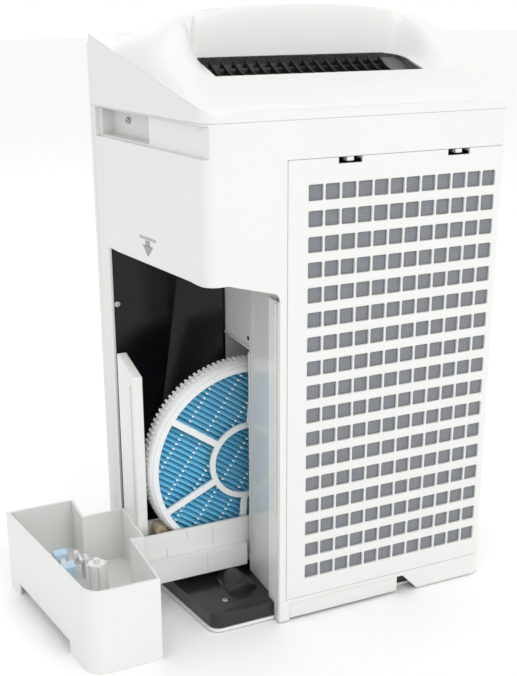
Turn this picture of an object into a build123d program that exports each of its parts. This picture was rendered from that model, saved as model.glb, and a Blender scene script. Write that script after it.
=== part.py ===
"""Humidifying air purifier: casing, rear intake, filters, fan, and a side tray with a filter wheel.

Frame: origin on the floor under the middle of the casing, +Z up, front towards -Y, the air
intake towards +Y and the tank bay towards +X. The tray is drawn pulled out to its service place.
"""

from build123d import *
from math import atan2, cos, degrees, hypot, radians, sin
import os

os.makedirs("parts", exist_ok=True)

# Overall sizes
HEIGHT = 615.0
DEPTH = 230.0
FRONT_WIDTH = 399.0
REAR_WIDTH = 322.0
WALL = 2.5
FIT = 0.4
GAP = 0.3

HALF_DEPTH = DEPTH / 2
TAPER = degrees(atan2((FRONT_WIDTH - REAR_WIDTH) / 2, DEPTH))
FRONT = -HALF_DEPTH
REAR = HALF_DEPTH

# Front panel
FRONT_PANEL_DEPTH = 11.0
FRONT_PANEL_FOOT = 16.0
FRONT_PANEL_RADIUS = 5.0
BODY_FRONT = FRONT + FRONT_PANEL_DEPTH + GAP

# Casing
SKIRT_FOOT = 1.5
SEAM_HEIGHT = HEIGHT - 100.0
CORNER_RADIUS = 14.0
SCOOP_DEPTH = 2.5
SCOOP_START = 4.0
SCOOP_WIDTH = 24.0
SCOOP_RUN = 9.0
SIDE_SINK = 1.4
SINK_REAR = REAR - 22.0
SOFT_RADIUS = 12.0
ARCH_HEIGHT = 21.0
ARCH_LEFT = -60.0
BAY_EDGE = 88.0
BAY_FRONT = FRONT + 28.8
BAY_TOP = 368.0
BAY_CORNER_RADIUS = 8.0
BAY_LIP_DROP = 14.0
BAY_LIP_DEPTH = 26.0

# Handle recesses
GRIP_TOP = SEAM_HEIGHT - 2.0
GRIP_HEIGHT = 29.0
GRIP_STEP = 5.0
GRIP_DEPTH = 18.0
GRIP_FRONT = FRONT + 16.0
POCKET_FRONT = FRONT + 21.0
POCKET_REAR = 5.0
GRIP_SCREW_Y = -62.0
GRIP_SCREW_Z = GRIP_TOP - 11.0

# Base
BASE_TOP = 20.0
BASE_FOOT = 4.5
BASE_INSET = 6.5
BASE_REAR = REAR - 11.0
BASE_RADIUS = 12.0
RIM_FOOT = 1.5
RIM_LIP = 1.5
FOOT_RADIUS = 9.0
BOSS_HEIGHT = 2.5
SHELF_GAP = 2.5

# Rear panel and its grille
PANEL_EDGE = 80.0
PANEL_DEPTH = 10.5
PANEL_FOOT = 26.0
PANEL_TOP = 479.0
CELL = 15.3
CELL_COLUMNS = 12
CELL_ROWS = 17
COLUMN_PITCH = 17.5
ROW_PITCH = 24.6
GRILLE_X = -45.0
GRILLE_Z = 251.0
CELL_RADIUS = 1.5
TAB_OFFSETS = (60.5, -59.5)
TAB_SLOT_WIDTH = 25.0
TAB_SLOT_HEIGHT = 6.0
TAB_WIDTH = 7.0
TAB_TRAVEL = 1.5

# Filters
FILTER_LEFT = -156.0
FILTER_RIGHT = 78.0
FILTER_FOOT = 30.0
FILTER_TOP = 470.0
HEPA_FRONT = 40.0
HEPA_DEPTH = 36.0
CARBON_DEPTH = 8.0
FILTER_SPACING = 2.0
FRAME_WALL = 4.0
MESH_DEPTH = 1.0

# Filter box inside the casing
BOX_RIGHT = 82.0
BOX_WALL = 3.0
BOX_TOP = 475.0
SLOT_REAR = 36.0
SLOT_FRONT = -46.0
SLOT_TOP = 270.0
SLOT_FACE = 77.0
BOX_REAR = REAR - PANEL_DEPTH - 3.0
BOX_END = BOX_REAR - 10.0
BOX_CLEARANCE = 0.4
SIDE_AT_BOX_END = REAR_WIDTH / 2 + (REAR - BOX_END) * (FRONT_WIDTH - REAR_WIDTH) / 2 / DEPTH
BOX_LEFT = -(SIDE_AT_BOX_END - WALL - BOX_WALL - BOX_CLEARANCE)

# Bay liner
LINER_WALL = 2.5
LINER_FRONT = BAY_FRONT - GAP - LINER_WALL
LINER_KNEE_FOOT = 115.0
LINER_KNEE_LEDGE = 150.0
LINER_KNEE_TOP = 110.0
LEDGE_HEIGHT = 94.0

# Tray: where it stands when shut, and how far it is pulled out
TRAY_PULL = 129.0
TRAY_DRIFT = 8.0
TRAY_RIM = 90.0
TRAY_FLOOR = 30.0
TRAY_WALL = 2.5
TRAY_EDGE = BAY_EDGE + 1.0
TRAY_NECK = 76.0
TRAY_STEP_X = 121.0
TRAY_STEP_Y = -42.0
TRAY_FRONT = BAY_FRONT + 0.7
TRAY_NECK_REAR = 30.0
TRAY_RADIUS = 20.0
TRAY_ARCH = 14.0
TRAY_ARCH_FRONT = -62.0
TRAY_ARCH_REAR = 66.0
TROUGH_RIM = 84.0
TROUGH_END = -145.0
TROUGH_FRONT = -14.5
TROUGH_REAR = 21.0
BULGE_DEPTH = 7.0
BULGE_END = -40.0
BULGE_TOP = 55.0
POST_THICK = 10.5
POST_FRONT = -43.0
POST_REAR = 10.0
POST_TOP = 266.0
SHELF_FRONT = TRAY_FRONT + TRAY_WALL + SHELF_GAP

# Filter wheel
WHEEL_X = -46.5
WHEEL_Y = 4.0
WHEEL_Z = 147.0
WHEEL_RADIUS = 111.0
WHEEL_DEPTH = 24.0
TOOTH_DEPTH = 2.5
TOOTH_COUNT = 120
RING_WIDTH = 8.0
HUB_RADIUS = 43.0
HUB_RING = 6.0
SPOKE_COUNT = 6
SPOKE_WIDTH = 7.0
SPOKE_ANGLE = 35.0
FACE_DEPTH = 3.0
ROLLER_RADIUS = 6.5
ROLLER_PIN = 1.6
ROLLER_ANGLES = (-36.0, -126.0)

# Wheel drive in the casing
PINION_RADIUS = 9.0
PINION_ANGLE = 140.0
PINION_SHAFT = 2.0

# Float and valve post
FLOAT_X = 151.0
FLOAT_Y = -16.0
FLOAT_Z = 52.0
FLOAT_SIZE = (15.0, 13.0, 14.0)
FLOAT_SPREAD = 30.0
FLOAT_PIN = 1.5
VALVE_X = 129.0
VALVE_Y = 33.0
VALVE_RADIUS = 9.0
VALVE_TOP = 74.0

# Fan
FAN_X = -45.0
FAN_Z = 290.0
FAN_RADIUS = 100.0
FAN_FRONT = -88.0
FAN_DEPTH = 34.0
FAN_BLADES = 30
SCROLL_GAP = 11.0
SHAFT_RADIUS = 4.0
MOTOR_RADIUS = 42.0
INLET_RADIUS = 88.0

# Top cover
RIDGE_Y = -20.0
RIDGE_FRONT = -34.0
SLOPE_FOOT = HEIGHT - 36.0
SLOPE_TOP = HEIGHT - 8.0
CREST_REAR = HEIGHT - 85.0
DECK_SLOPE = 0.27
DECK_FOOT = HEIGHT - 66.0
OUTLET_HALF = 118.0
OUTLET_FRONT = -20.0
OUTLET_REAR = 30.0
COVER_WALL = 3.0
BEVEL_RUN = 17.0
BEVEL_RISE = 26.0
BEVEL_FRONT = HEIGHT - 38.0
BEVEL_REAR = HEIGHT - 96.0

# Controls
CONTROL_LENGTH = 200.0
CONTROL_WIDTH = 44.0
CONTROL_THICK = 2.2
BUTTON_RADIUS = 6.0
BUTTON_PITCH = 26.0
BUTTON_COUNT = 5
BUTTON_TRAVEL = 1.0
BUTTON_PROUD = 1.2

SCREW_HEAD = 3.5
OUT = Vector(TRAY_PULL, TRAY_DRIFT, 0)


def half_width(y):
    """Half the casing's width at depth y: the sides taper in towards the rear."""
    share = (y - FRONT) / DEPTH
    return (FRONT_WIDTH + (REAR_WIDTH - FRONT_WIDTH) * share) / 2


def save(piece, name):
    """Label a finished piece and write its STEP file."""
    piece.part.label = name
    export_step(piece.part, f"parts/{name}.step")


def box_between(low, high, mode=Mode.ADD):
    """A box given by its lowest and highest corners, in the current builder."""
    size = [high[i] - low[i] for i in range(3)]
    middle = [(high[i] + low[i]) / 2 for i in range(3)]
    with Locations(tuple(middle)):
        return Box(*size, mode=mode)


def y_plane(y):
    """A plane facing +Y at depth y, with its x along -X and its y along +Z."""
    return Plane(origin=(0, y, 0), x_dir=(-1, 0, 0), z_dir=(0, 1, 0))


def casing_points(y_front, y_rear, scooped):
    """Half of the plan outline, from the front to the rear, on the +X side."""
    points = [(half_width(y_front), y_front)]
    if scooped:
        start = y_front + SCOOP_START
        end = start + SCOOP_WIDTH
        stops = (start, start + SCOOP_RUN, end, end + SCOOP_RUN, SINK_REAR - SCOOP_RUN, SINK_REAR)
        depths = (0, SCOOP_DEPTH, SCOOP_DEPTH, SIDE_SINK, SIDE_SINK, 0)
        points += [(half_width(y) - depth, y) for y, depth in zip(stops, depths)]
    points.append((half_width(y_rear), y_rear))
    return points


def plan_outline(y_front, y_rear, inset=0.0, scooped=False, radius=CORNER_RADIUS):
    """The casing's plan as a face, inset all round, with rounded rear corners."""
    right = casing_points(y_front, y_rear, scooped)
    left = [(-x, y) for x, y in reversed(right)]
    with BuildSketch() as plan:
        with BuildLine():
            Polyline(*right, *left, close=True)
        make_face()
        fillet(plan.vertices().group_by(Axis.Y)[-1], radius)
        if scooped:
            bends = plan.vertices().filter_by_position(Axis.Y, y_front + 1, SINK_REAR + 1)
            fillet(bends, SOFT_RADIUS)
        if inset:
            offset(amount=-inset, kind=Kind.INTERSECTION)
    return plan.sketch


# ---------------------------------------------------------------- casing

with BuildPart() as front_panel:
    with BuildSketch(Plane.XY.offset(FRONT_PANEL_FOOT)):
        with BuildLine():
            Polyline(
                (-half_width(FRONT), FRONT),
                (half_width(FRONT), FRONT),
                (half_width(FRONT + FRONT_PANEL_DEPTH), FRONT + FRONT_PANEL_DEPTH),
                (-half_width(FRONT + FRONT_PANEL_DEPTH), FRONT + FRONT_PANEL_DEPTH),
                close=True,
            )
        make_face()
    extrude(amount=SLOPE_FOOT - FRONT_PANEL_FOOT - WALL)
    fillet(front_panel.edges().filter_by(Axis.Z).group_by(Axis.Y)[0], FRONT_PANEL_RADIUS)
    inner_half = half_width(FRONT + FRONT_PANEL_DEPTH) - WALL
    box_between(
        (-inner_half, FRONT + WALL, FRONT_PANEL_FOOT + WALL),
        (inner_half, FRONT + FRONT_PANEL_DEPTH + 1, SLOPE_FOOT - 2 * WALL),
        mode=Mode.SUBTRACT,
    )
save(front_panel, "front_panel")

with BuildPart() as side_shell:
    with BuildSketch(Plane.XY.offset(SKIRT_FOOT)):
        add(plan_outline(BODY_FRONT, REAR, scooped=True))
        add(plan_outline(BODY_FRONT, REAR, WALL, True), mode=Mode.SUBTRACT)
    extrude(amount=SEAM_HEIGHT - SKIRT_FOOT)
    # Thick band behind the handle recesses
    with BuildSketch(Plane.XY.offset(GRIP_TOP - GRIP_HEIGHT - WALL)):
        add(plan_outline(BODY_FRONT, REAR, scooped=True))
        add(plan_outline(BODY_FRONT, REAR, GRIP_DEPTH + WALL, radius=CORNER_RADIUS + 8), mode=Mode.SUBTRACT)
    extrude(amount=GRIP_HEIGHT + WALL)
    box_between(
        (-half_width(REAR) + GRIP_STEP * 4, REAR - WALL - 40, GRIP_TOP - GRIP_HEIGHT - 9),
        (half_width(REAR) - GRIP_STEP * 4, REAR - WALL, SEAM_HEIGHT + 1),
        mode=Mode.SUBTRACT,
    )
    box_between(
        (-half_width(BODY_FRONT) + GRIP_DEPTH + 8, BODY_FRONT + WALL, GRIP_TOP - GRIP_HEIGHT - 9),
        (half_width(BODY_FRONT) - GRIP_DEPTH - 8, BODY_FRONT + 40, SEAM_HEIGHT + 1),
        mode=Mode.SUBTRACT,
    )
    # Shallow recess along each side, and the deeper finger pocket in it
    for depth, y_low, y_high, lift in (
        (GRIP_STEP, GRIP_FRONT, REAR + 1, 0.0),
        (GRIP_DEPTH, POCKET_FRONT, POCKET_REAR, 2.0),
    ):
        for side in (1, -1):
            with BuildSketch(Plane.XY.offset(GRIP_TOP - GRIP_HEIGHT + lift)):
                with BuildLine():
                    Polyline(
                        (side * (half_width(y_low) - depth), y_low),
                        (side * (half_width(y_low) + depth), y_low),
                        (side * (half_width(y_high) + depth), y_high),
                        (side * (half_width(y_high) - depth), y_high),
                        close=True,
                    )
                make_face()
            extrude(amount=GRIP_HEIGHT - lift, mode=Mode.SUBTRACT)
    # Tank bay: open to the side and to the rear corner
    with BuildSketch(y_plane(REAR + 10)):
        with BuildLine():
            Polyline(
                (-BAY_EDGE, -10),
                (-BAY_EDGE, BAY_TOP - BAY_LIP_DROP),
                (-BAY_EDGE - 52, BAY_TOP),
                (-FRONT_WIDTH, BAY_TOP),
                (-FRONT_WIDTH, -10),
                close=True,
            )
        bay_face = make_face()
        bay_corner = bay_face.vertices().sort_by_distance((-BAY_EDGE, BAY_TOP - BAY_LIP_DROP))[0]
        fillet(bay_corner, BAY_CORNER_RADIUS)
    extrude(amount=-(REAR + 10 - BAY_FRONT), mode=Mode.SUBTRACT)
    # Return flange behind the bay's rear edge
    box_between(
        (BAY_EDGE - WALL, REAR - BAY_LIP_DEPTH, SKIRT_FOOT),
        (BAY_EDGE, REAR - WALL / 2, BAY_TOP - BAY_LIP_DROP - BAY_CORNER_RADIUS),
    )
    # Opening for the rear panel
    box_between(
        (-FRONT_WIDTH, REAR - PANEL_DEPTH - GAP, PANEL_FOOT - GAP),
        (PANEL_EDGE + GAP, REAR + 10, PANEL_TOP + GAP),
        mode=Mode.SUBTRACT,
    )
    # Hole in the front wall that the fan motor reaches through
    with BuildSketch(y_plane(BODY_FRONT - 5)):
        with Locations((-FAN_X, FAN_Z)):
            Circle(MOTOR_RADIUS + 2)
    extrude(amount=15, mode=Mode.SUBTRACT)
    # Arches between the feet at the rear and at the closed side
    with BuildSketch(y_plane(REAR + 10)):
        with BuildLine():
            Polyline(
                (-PANEL_EDGE + 4, -1),
                (-PANEL_EDGE + 4, ARCH_HEIGHT),
                (-ARCH_LEFT, ARCH_HEIGHT),
                (-ARCH_LEFT + ARCH_HEIGHT, -1),
                close=True,
            )
        make_face()
    extrude(amount=-30, mode=Mode.SUBTRACT)
    box_between((-FRONT_WIDTH, -62, 0), (-140, 62, ARCH_HEIGHT), mode=Mode.SUBTRACT)
    # Sensor window and cord outlet on the closed side
    box_between((-FRONT_WIDTH, -40, 395), (-150, 10, 430), mode=Mode.SUBTRACT)
    with Locations(Location((-half_width(60), 60, 60), (0, 90, 0))):
        Cylinder(6.5, 40, mode=Mode.SUBTRACT)
save(side_shell, "side_shell")


def cover_block(inset):
    """The top cover's solid, shrunk by inset all round: arched ridge, crests and sunk rear deck."""
    with BuildPart() as block:
        with BuildSketch(Plane.XY.offset(SEAM_HEIGHT + GAP - inset)):
            add(plan_outline(BODY_FRONT, REAR, inset))
        extrude(amount=HEIGHT - SEAM_HEIGHT + 2 * inset)
        # Side view: control slope, ridge, crest falling to the rear edge
        with BuildSketch(Plane.YZ):
            with BuildLine():
                Polyline(
                    (FRONT - 20, SEAM_HEIGHT - 20),
                    (FRONT - 20, SLOPE_FOOT - (BODY_FRONT - FRONT + 20) * 0.4 - inset),
                    (BODY_FRONT, SLOPE_FOOT - inset),
                    (RIDGE_FRONT, SLOPE_TOP - inset),
                )
                Spline(
                    (RIDGE_FRONT, SLOPE_TOP - inset),
                    (RIDGE_Y, HEIGHT - inset),
                    (RIDGE_Y + 24, HEIGHT - 15 - inset),
                    (RIDGE_Y + 60, HEIGHT - 44 - inset),
                    (RIDGE_Y + 100, HEIGHT - 67 - inset),
                    (REAR, CREST_REAR - inset),
                )
                Polyline(
                    (REAR, CREST_REAR - inset),
                    (REAR + 20, CREST_REAR - 20),
                    (REAR + 20, SEAM_HEIGHT - 20),
                    (FRONT - 20, SEAM_HEIGHT - 20),
                )
            make_face()
        extrude(amount=FRONT_WIDTH, both=True, mode=Mode.INTERSECT)
        # Rear view: the arch over the whole width
        with BuildSketch(y_plane(FRONT - 20)):
            with BuildLine():
                arch = [(0, 0), (45, 2.5), (92, 8), (136, 17), (167, 30), (FRONT_WIDTH / 2 + 2, 49)]
                right = [(x, HEIGHT - fall - inset) for x, fall in arch]
                left = [(-x, z) for x, z in reversed(right[1:])]
                Spline(*left, *right)
                Polyline(right[-1], (right[-1][0], SEAM_HEIGHT - 20), (left[0][0], SEAM_HEIGHT - 20), left[0])
            make_face()
        extrude(amount=DEPTH + 40, mode=Mode.INTERSECT)
        # Bevel along each side edge
        for side in (1, -1):
            front_point = Vector(side * (half_width(FRONT) - inset), FRONT, BEVEL_FRONT - inset)
            rear_point = Vector(side * (half_width(REAR) - inset), REAR, BEVEL_REAR - inset)
            along = (rear_point - front_point).normalized()
            normal = along.cross(Vector(-side * BEVEL_RUN, 0, BEVEL_RISE)).normalized()
            if normal.Z < 0:
                normal = -normal
            split(bisect_by=Plane(origin=front_point, z_dir=normal), keep=Keep.BOTTOM)
        # Sunk deck between the two crests, behind the ridge
        with BuildSketch(Plane(origin=(0, OUTLET_FRONT - inset, 0), x_dir=(1, 0, 0), z_dir=(0, 0, 1))):
            with BuildLine():
                Polyline(
                    (-OUTLET_HALF - 2 - inset, 0),
                    (OUTLET_HALF + 2 + inset, 0),
                    (OUTLET_HALF + 32 + inset, 70),
                    (half_width(REAR) - 6 + inset, REAR - OUTLET_FRONT + 30),
                    (-half_width(REAR) + 6 - inset, REAR - OUTLET_FRONT + 30),
                    (-OUTLET_HALF - 32 - inset, 70),
                    close=True,
                )
            make_face()
        deck_cut = extrude(amount=HEIGHT + 50, mode=Mode.PRIVATE)
        with BuildSketch(Plane.YZ):
            with BuildLine():
                deck_front = DECK_FOOT + (OUTLET_REAR + 60) * DECK_SLOPE - inset
                deck_rear = DECK_FOOT - (REAR + 30 - OUTLET_REAR) * DECK_SLOPE - inset
                Polyline(
                    (-60, deck_front),
                    (-60, HEIGHT + 85),
                    (REAR + 30, HEIGHT + 85),
                    (REAR + 30, deck_rear),
                    close=True,
                )
            make_face()
        above_deck = extrude(amount=FRONT_WIDTH, both=True, mode=Mode.PRIVATE)
        add(deck_cut & above_deck, mode=Mode.SUBTRACT)
    return block.part


SLOPE_ANGLE = degrees(atan2(SLOPE_TOP - SLOPE_FOOT, RIDGE_FRONT - BODY_FRONT))
SLOPE_MIDDLE = Vector(0, (BODY_FRONT + RIDGE_FRONT) / 2, (SLOPE_FOOT + SLOPE_TOP) / 2)
SLOPE_PLANE = Plane(
    origin=SLOPE_MIDDLE,
    x_dir=(1, 0, 0),
    z_dir=(0, -sin(radians(SLOPE_ANGLE)), cos(radians(SLOPE_ANGLE))),
)

with BuildPart() as top_cover:
    add(cover_block(0.0))
    add(cover_block(COVER_WALL), mode=Mode.SUBTRACT)
    # Outlet opening in the deck
    box_between(
        (-OUTLET_HALF, OUTLET_FRONT + FIT, SEAM_HEIGHT - 5),
        (OUTLET_HALF, OUTLET_REAR, DECK_FOOT + 40),
        mode=Mode.SUBTRACT,
    )
    # Seat and window for the control panel
    with BuildSketch(SLOPE_PLANE.offset(-CONTROL_THICK)):
        Rectangle(CONTROL_LENGTH + 2 * GAP, CONTROL_WIDTH + 2 * GAP)
    extrude(amount=20, mode=Mode.SUBTRACT)
    with BuildSketch(SLOPE_PLANE.offset(-15)):
        Rectangle(CONTROL_LENGTH - 8, CONTROL_WIDTH - 8)
    extrude(amount=20, mode=Mode.SUBTRACT)
save(top_cover, "top_cover")

# ---------------------------------------------------------------- outlet and controls

GRILLE_TILT = degrees(atan2(17.0, OUTLET_REAR - OUTLET_FRONT))
GRILLE_RIBS = 17
GRILLE_BARS = 3
RIB_THICK = 1.6
RIB_HEIGHT = 9.0
GRILLE_FRAME = 3.0
grille_y = (OUTLET_FRONT + OUTLET_REAR) / 2
grille_plane = Plane(
    origin=(0, grille_y, DECK_FOOT - 8 + DECK_SLOPE * (OUTLET_REAR - grille_y)),
    x_dir=(1, 0, 0),
    z_dir=(0, sin(radians(GRILLE_TILT)), cos(radians(GRILLE_TILT))),
)
GRILLE_LENGTH = 2 * OUTLET_HALF - 2 * FIT
GRILLE_DEPTH = (OUTLET_REAR - OUTLET_FRONT - 3) * cos(radians(GRILLE_TILT))

with BuildPart() as outlet_grille:
    with BuildSketch(grille_plane.offset(-RIB_HEIGHT)):
        Rectangle(GRILLE_LENGTH, GRILLE_DEPTH)
        Rectangle(GRILLE_LENGTH - 2 * GRILLE_FRAME, GRILLE_DEPTH - 2 * GRILLE_FRAME, mode=Mode.SUBTRACT)
        with GridLocations(GRILLE_LENGTH / (GRILLE_RIBS + 1), 0, GRILLE_RIBS, 1):
            Rectangle(RIB_THICK, GRILLE_DEPTH)
        with GridLocations(0, GRILLE_DEPTH / (GRILLE_BARS + 1), 1, GRILLE_BARS):
            Rectangle(GRILLE_LENGTH, RIB_THICK)
    extrude(amount=RIB_HEIGHT)
save(outlet_grille, "outlet_grille")

DUCT_TOP = DECK_FOOT - 34.0
with BuildPart() as outlet_duct:
    duct_low = (-OUTLET_HALF - 4, BODY_FRONT + WALL + 10, BOX_TOP + BOX_WALL + GAP)
    duct_high = (OUTLET_HALF + 4, OUTLET_REAR + 4, DUCT_TOP)
    box_between(duct_low, duct_high)
    box_between(
        (duct_low[0] + 2, duct_low[1] + 2, duct_low[2] - 1),
        (duct_high[0] - 2, duct_high[1] - 2, duct_high[2] + 1),
        mode=Mode.SUBTRACT,
    )
save(outlet_duct, "outlet_duct")

button_spots = [
    ((index - (BUTTON_COUNT - 1) / 2) * BUTTON_PITCH, -8.0) for index in range(BUTTON_COUNT)
]
LENS_LENGTH = 120.0
LENS_WIDTH = 8.0

with BuildPart() as control_panel:
    with BuildSketch(SLOPE_PLANE.offset(-CONTROL_THICK)):
        RectangleRounded(CONTROL_LENGTH, CONTROL_WIDTH, 3)
        with Locations(*button_spots):
            Circle(BUTTON_RADIUS + FIT, mode=Mode.SUBTRACT)
        with Locations((0, 11)):
            Rectangle(LENS_LENGTH + GAP, LENS_WIDTH + GAP, mode=Mode.SUBTRACT)
    extrude(amount=CONTROL_THICK)
save(control_panel, "control_panel")

with BuildPart() as display_lens:
    with BuildSketch(SLOPE_PLANE.offset(-CONTROL_THICK)):
        with Locations((0, 11)):
            Rectangle(LENS_LENGTH, LENS_WIDTH)
    extrude(amount=CONTROL_THICK - 0.2)
save(display_lens, "display_lens")

for number, spot in enumerate(button_spots, start=1):
    with BuildPart() as button:
        with BuildSketch(SLOPE_PLANE.offset(-CONTROL_THICK - BUTTON_TRAVEL)):
            with Locations(spot):
                Circle(BUTTON_RADIUS)
        extrude(amount=CONTROL_THICK + BUTTON_TRAVEL + BUTTON_PROUD)
        fillet(button.edges().filter_by(GeomType.CIRCLE).sort_by(Axis.Z)[-1], 0.6)
        with BuildSketch(SLOPE_PLANE.offset(-CONTROL_THICK - BUTTON_TRAVEL - 1.5)):
            with Locations(spot):
                Circle(BUTTON_RADIUS + 1.5)
        extrude(amount=1.5)
    save(button, f"button_{number}")

BOARD_DROP = 9.0
with BuildPart() as circuit_board:
    with BuildSketch(SLOPE_PLANE.offset(-CONTROL_THICK - BOARD_DROP)):
        Rectangle(CONTROL_LENGTH - 12, CONTROL_WIDTH - 12)
    extrude(amount=1.6)
    with BuildSketch(SLOPE_PLANE.offset(-CONTROL_THICK - BOARD_DROP + 1.6)):
        with Locations((0, 11)):
            Rectangle(LENS_LENGTH - 10, 3)
    extrude(amount=2.5)
save(circuit_board, "circuit_board")

# ---------------------------------------------------------------- base


def base_outline(grow):
    """Plan of the base: under the closed body, plus the shelf under the tank bay."""
    with BuildSketch() as plan:
        with BuildLine():
            inner = WALL + SCOOP_DEPTH + 1.0 - grow
            Polyline(
                (-half_width(BODY_FRONT) + inner + 1.5, BODY_FRONT + inner),
                (BAY_EDGE + 20, BODY_FRONT + inner),
                (BAY_EDGE + 20, SHELF_FRONT - grow),
                (half_width(SHELF_FRONT) - BASE_INSET + grow, SHELF_FRONT - grow),
                (half_width(BASE_REAR) - BASE_INSET + grow, BASE_REAR - 0.5 + grow),
                (BAY_EDGE + 1.0, BASE_REAR - 0.5 + grow),
                (BAY_EDGE + 1.0, REAR - BAY_LIP_DEPTH - 1),
                (BAY_EDGE - WALL - 1, REAR - BAY_LIP_DEPTH - 1),
                (BAY_EDGE - WALL - 1, REAR - PANEL_DEPTH - 2),
                (-half_width(REAR) + inner, REAR - PANEL_DEPTH - 2),
                close=True,
            )
        make_face()
        fillet(plan.vertices().sort_by_distance((half_width(BASE_REAR), BASE_REAR))[0], BASE_RADIUS + grow)
    return plan.sketch


with BuildPart() as base_pan:
    with BuildSketch(Plane.XY.offset(BASE_FOOT)):
        add(base_outline(0.0))
    extrude(amount=BASE_TOP - BASE_FOOT)
    with BuildSketch(Plane.XY.offset(BASE_FOOT)):
        offset(base_outline(0.0), amount=-3.0, kind=Kind.INTERSECTION)
    extrude(amount=BASE_TOP - BASE_FOOT - 3.0, mode=Mode.SUBTRACT)
    # Post over the middle foot
    with BuildSketch(Plane.XY.offset(RIM_FOOT)):
        Circle(FOOT_RADIUS + 5)
    extrude(amount=BASE_TOP - RIM_FOOT)
    # Raised boss under the bay and the screw post's seat
    with BuildSketch(Plane.XY.offset(BASE_TOP)):
        with Locations((108, 48)):
            RectangleRounded(34, 44, 7)
    extrude(amount=BOSS_HEIGHT, taper=25)
    with Locations((133, 78, BASE_TOP)):
        CounterBoreHole(1.6, SCREW_HEAD + 0.4, 1.5, 30)
save(base_pan, "base_pan")

with BuildPart() as base_rim:
    with BuildSketch(Plane.XY.offset(RIM_FOOT)):
        add(base_outline(RIM_LIP))
        offset(base_outline(0.0), amount=-9.0, kind=Kind.INTERSECTION, mode=Mode.SUBTRACT)
    extrude(amount=BASE_FOOT - RIM_FOOT)
save(base_rim, "base_rim")

foot_spots = [(0, 0), (-176, -90), (72, -92), (-146, 92), (74, 92), (146, 86)]
with BuildPart() as feet:
    with BuildSketch():
        with Locations(*foot_spots):
            Circle(FOOT_RADIUS)
    extrude(amount=RIM_FOOT)
save(feet, "feet")

# ---------------------------------------------------------------- filter box, bay liner

with BuildPart() as filter_box:
    wall_foot = BASE_TOP + GAP
    box_between((BOX_RIGHT, SLOT_REAR, wall_foot), (BOX_RIGHT + BOX_WALL, BOX_REAR, BOX_TOP))
    box_between((SLOT_FACE - BOX_WALL, SLOT_FRONT, SLOT_TOP), (SLOT_FACE, SLOT_REAR + BOX_WALL, BOX_TOP))
    box_between((SLOT_FACE - BOX_WALL, SLOT_REAR, SLOT_TOP), (BOX_RIGHT + 1, SLOT_REAR + BOX_WALL, BOX_TOP))
    box_between((BOX_LEFT - BOX_WALL, SLOT_FRONT, wall_foot), (BOX_LEFT, BOX_END, BOX_TOP))
    box_between((BOX_LEFT - BOX_WALL, SLOT_FRONT, BOX_TOP), (SLOT_FACE, BOX_END, BOX_TOP + BOX_WALL))
    box_between((SLOT_FACE - 1, SLOT_REAR, BOX_TOP), (BOX_RIGHT + BOX_WALL, BOX_END, BOX_TOP + BOX_WALL))
    box_between((BOX_LEFT - BOX_WALL, SLOT_FRONT - BOX_WALL, wall_foot), (SLOT_FACE, SLOT_FRONT, BOX_TOP + BOX_WALL))
    with BuildSketch(y_plane(SLOT_FRONT + 1)):
        with Locations((-FAN_X, FAN_Z)):
            Circle(INLET_RADIUS)
    extrude(amount=-BOX_WALL - 2, mode=Mode.SUBTRACT)
    # Air passage up to the outlet duct
    box_between(
        (-OUTLET_HALF, SLOT_FRONT + 8, BOX_TOP - 1),
        (SLOT_FACE - BOX_WALL - 8, OUTLET_REAR, BOX_TOP + BOX_WALL + 1),
        mode=Mode.SUBTRACT,
    )
save(filter_box, "filter_box")


def liner_section(height, knee):
    """Plan of the bay liner at one height: flat front stretch, then a wall to the slot's edge."""
    reach = half_width(LINER_FRONT) - SCOOP_DEPTH - WALL - 1.2
    with BuildSketch(Plane.XY.offset(height)) as section:
        with BuildLine():
            Polyline(
                (reach, LINER_FRONT),
                (reach, LINER_FRONT + LINER_WALL),
                (knee + 1.2, LINER_FRONT + LINER_WALL),
                (SLOT_FACE + 3.4, SLOT_FRONT + 0.6),
                (SLOT_FACE + 0.5, SLOT_FRONT - 0.6),
                (knee - 0.6, LINER_FRONT),
                close=True,
            )
        make_face()
    return section.sketch


with BuildPart() as bay_liner:
    loft([liner_section(BASE_TOP + GAP, LINER_KNEE_FOOT), liner_section(LEDGE_HEIGHT, LINER_KNEE_FOOT)], ruled=True)
    loft([liner_section(LEDGE_HEIGHT, LINER_KNEE_LEDGE), liner_section(BAY_TOP - 1, LINER_KNEE_TOP)], ruled=True)
    # Ledge where the wall steps out over the tray
    with BuildSketch(Plane.XY.offset(LEDGE_HEIGHT)):
        with BuildLine():
            Polyline(
                (LINER_KNEE_FOOT - 0.6, LINER_FRONT),
                (LINER_KNEE_LEDGE, LINER_FRONT),
                (SLOT_FACE + 3.0, SLOT_FRONT),
                (SLOT_FACE + 0.5, SLOT_FRONT - 0.6),
                close=True,
            )
        make_face()
    extrude(amount=LINER_WALL)
save(bay_liner, "bay_liner")

with BuildPart() as bay_ceiling:
    with BuildSketch(Plane.XY.offset(BAY_TOP + 2)):
        add(plan_outline(BODY_FRONT, REAR, WALL + GAP, True))
        with BuildLine():
            Polyline(
                (SLOT_FACE + GAP, LINER_FRONT),
                (SLOT_FACE + GAP, SLOT_REAR - GAP),
                (BOX_RIGHT + BOX_WALL + GAP, SLOT_REAR - GAP),
                (BOX_RIGHT + BOX_WALL + GAP, REAR),
                (FRONT_WIDTH, REAR),
                (FRONT_WIDTH, LINER_FRONT),
                close=True,
            )
        make_face(mode=Mode.INTERSECT)
    extrude(amount=WALL)
save(bay_ceiling, "bay_ceiling")

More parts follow.
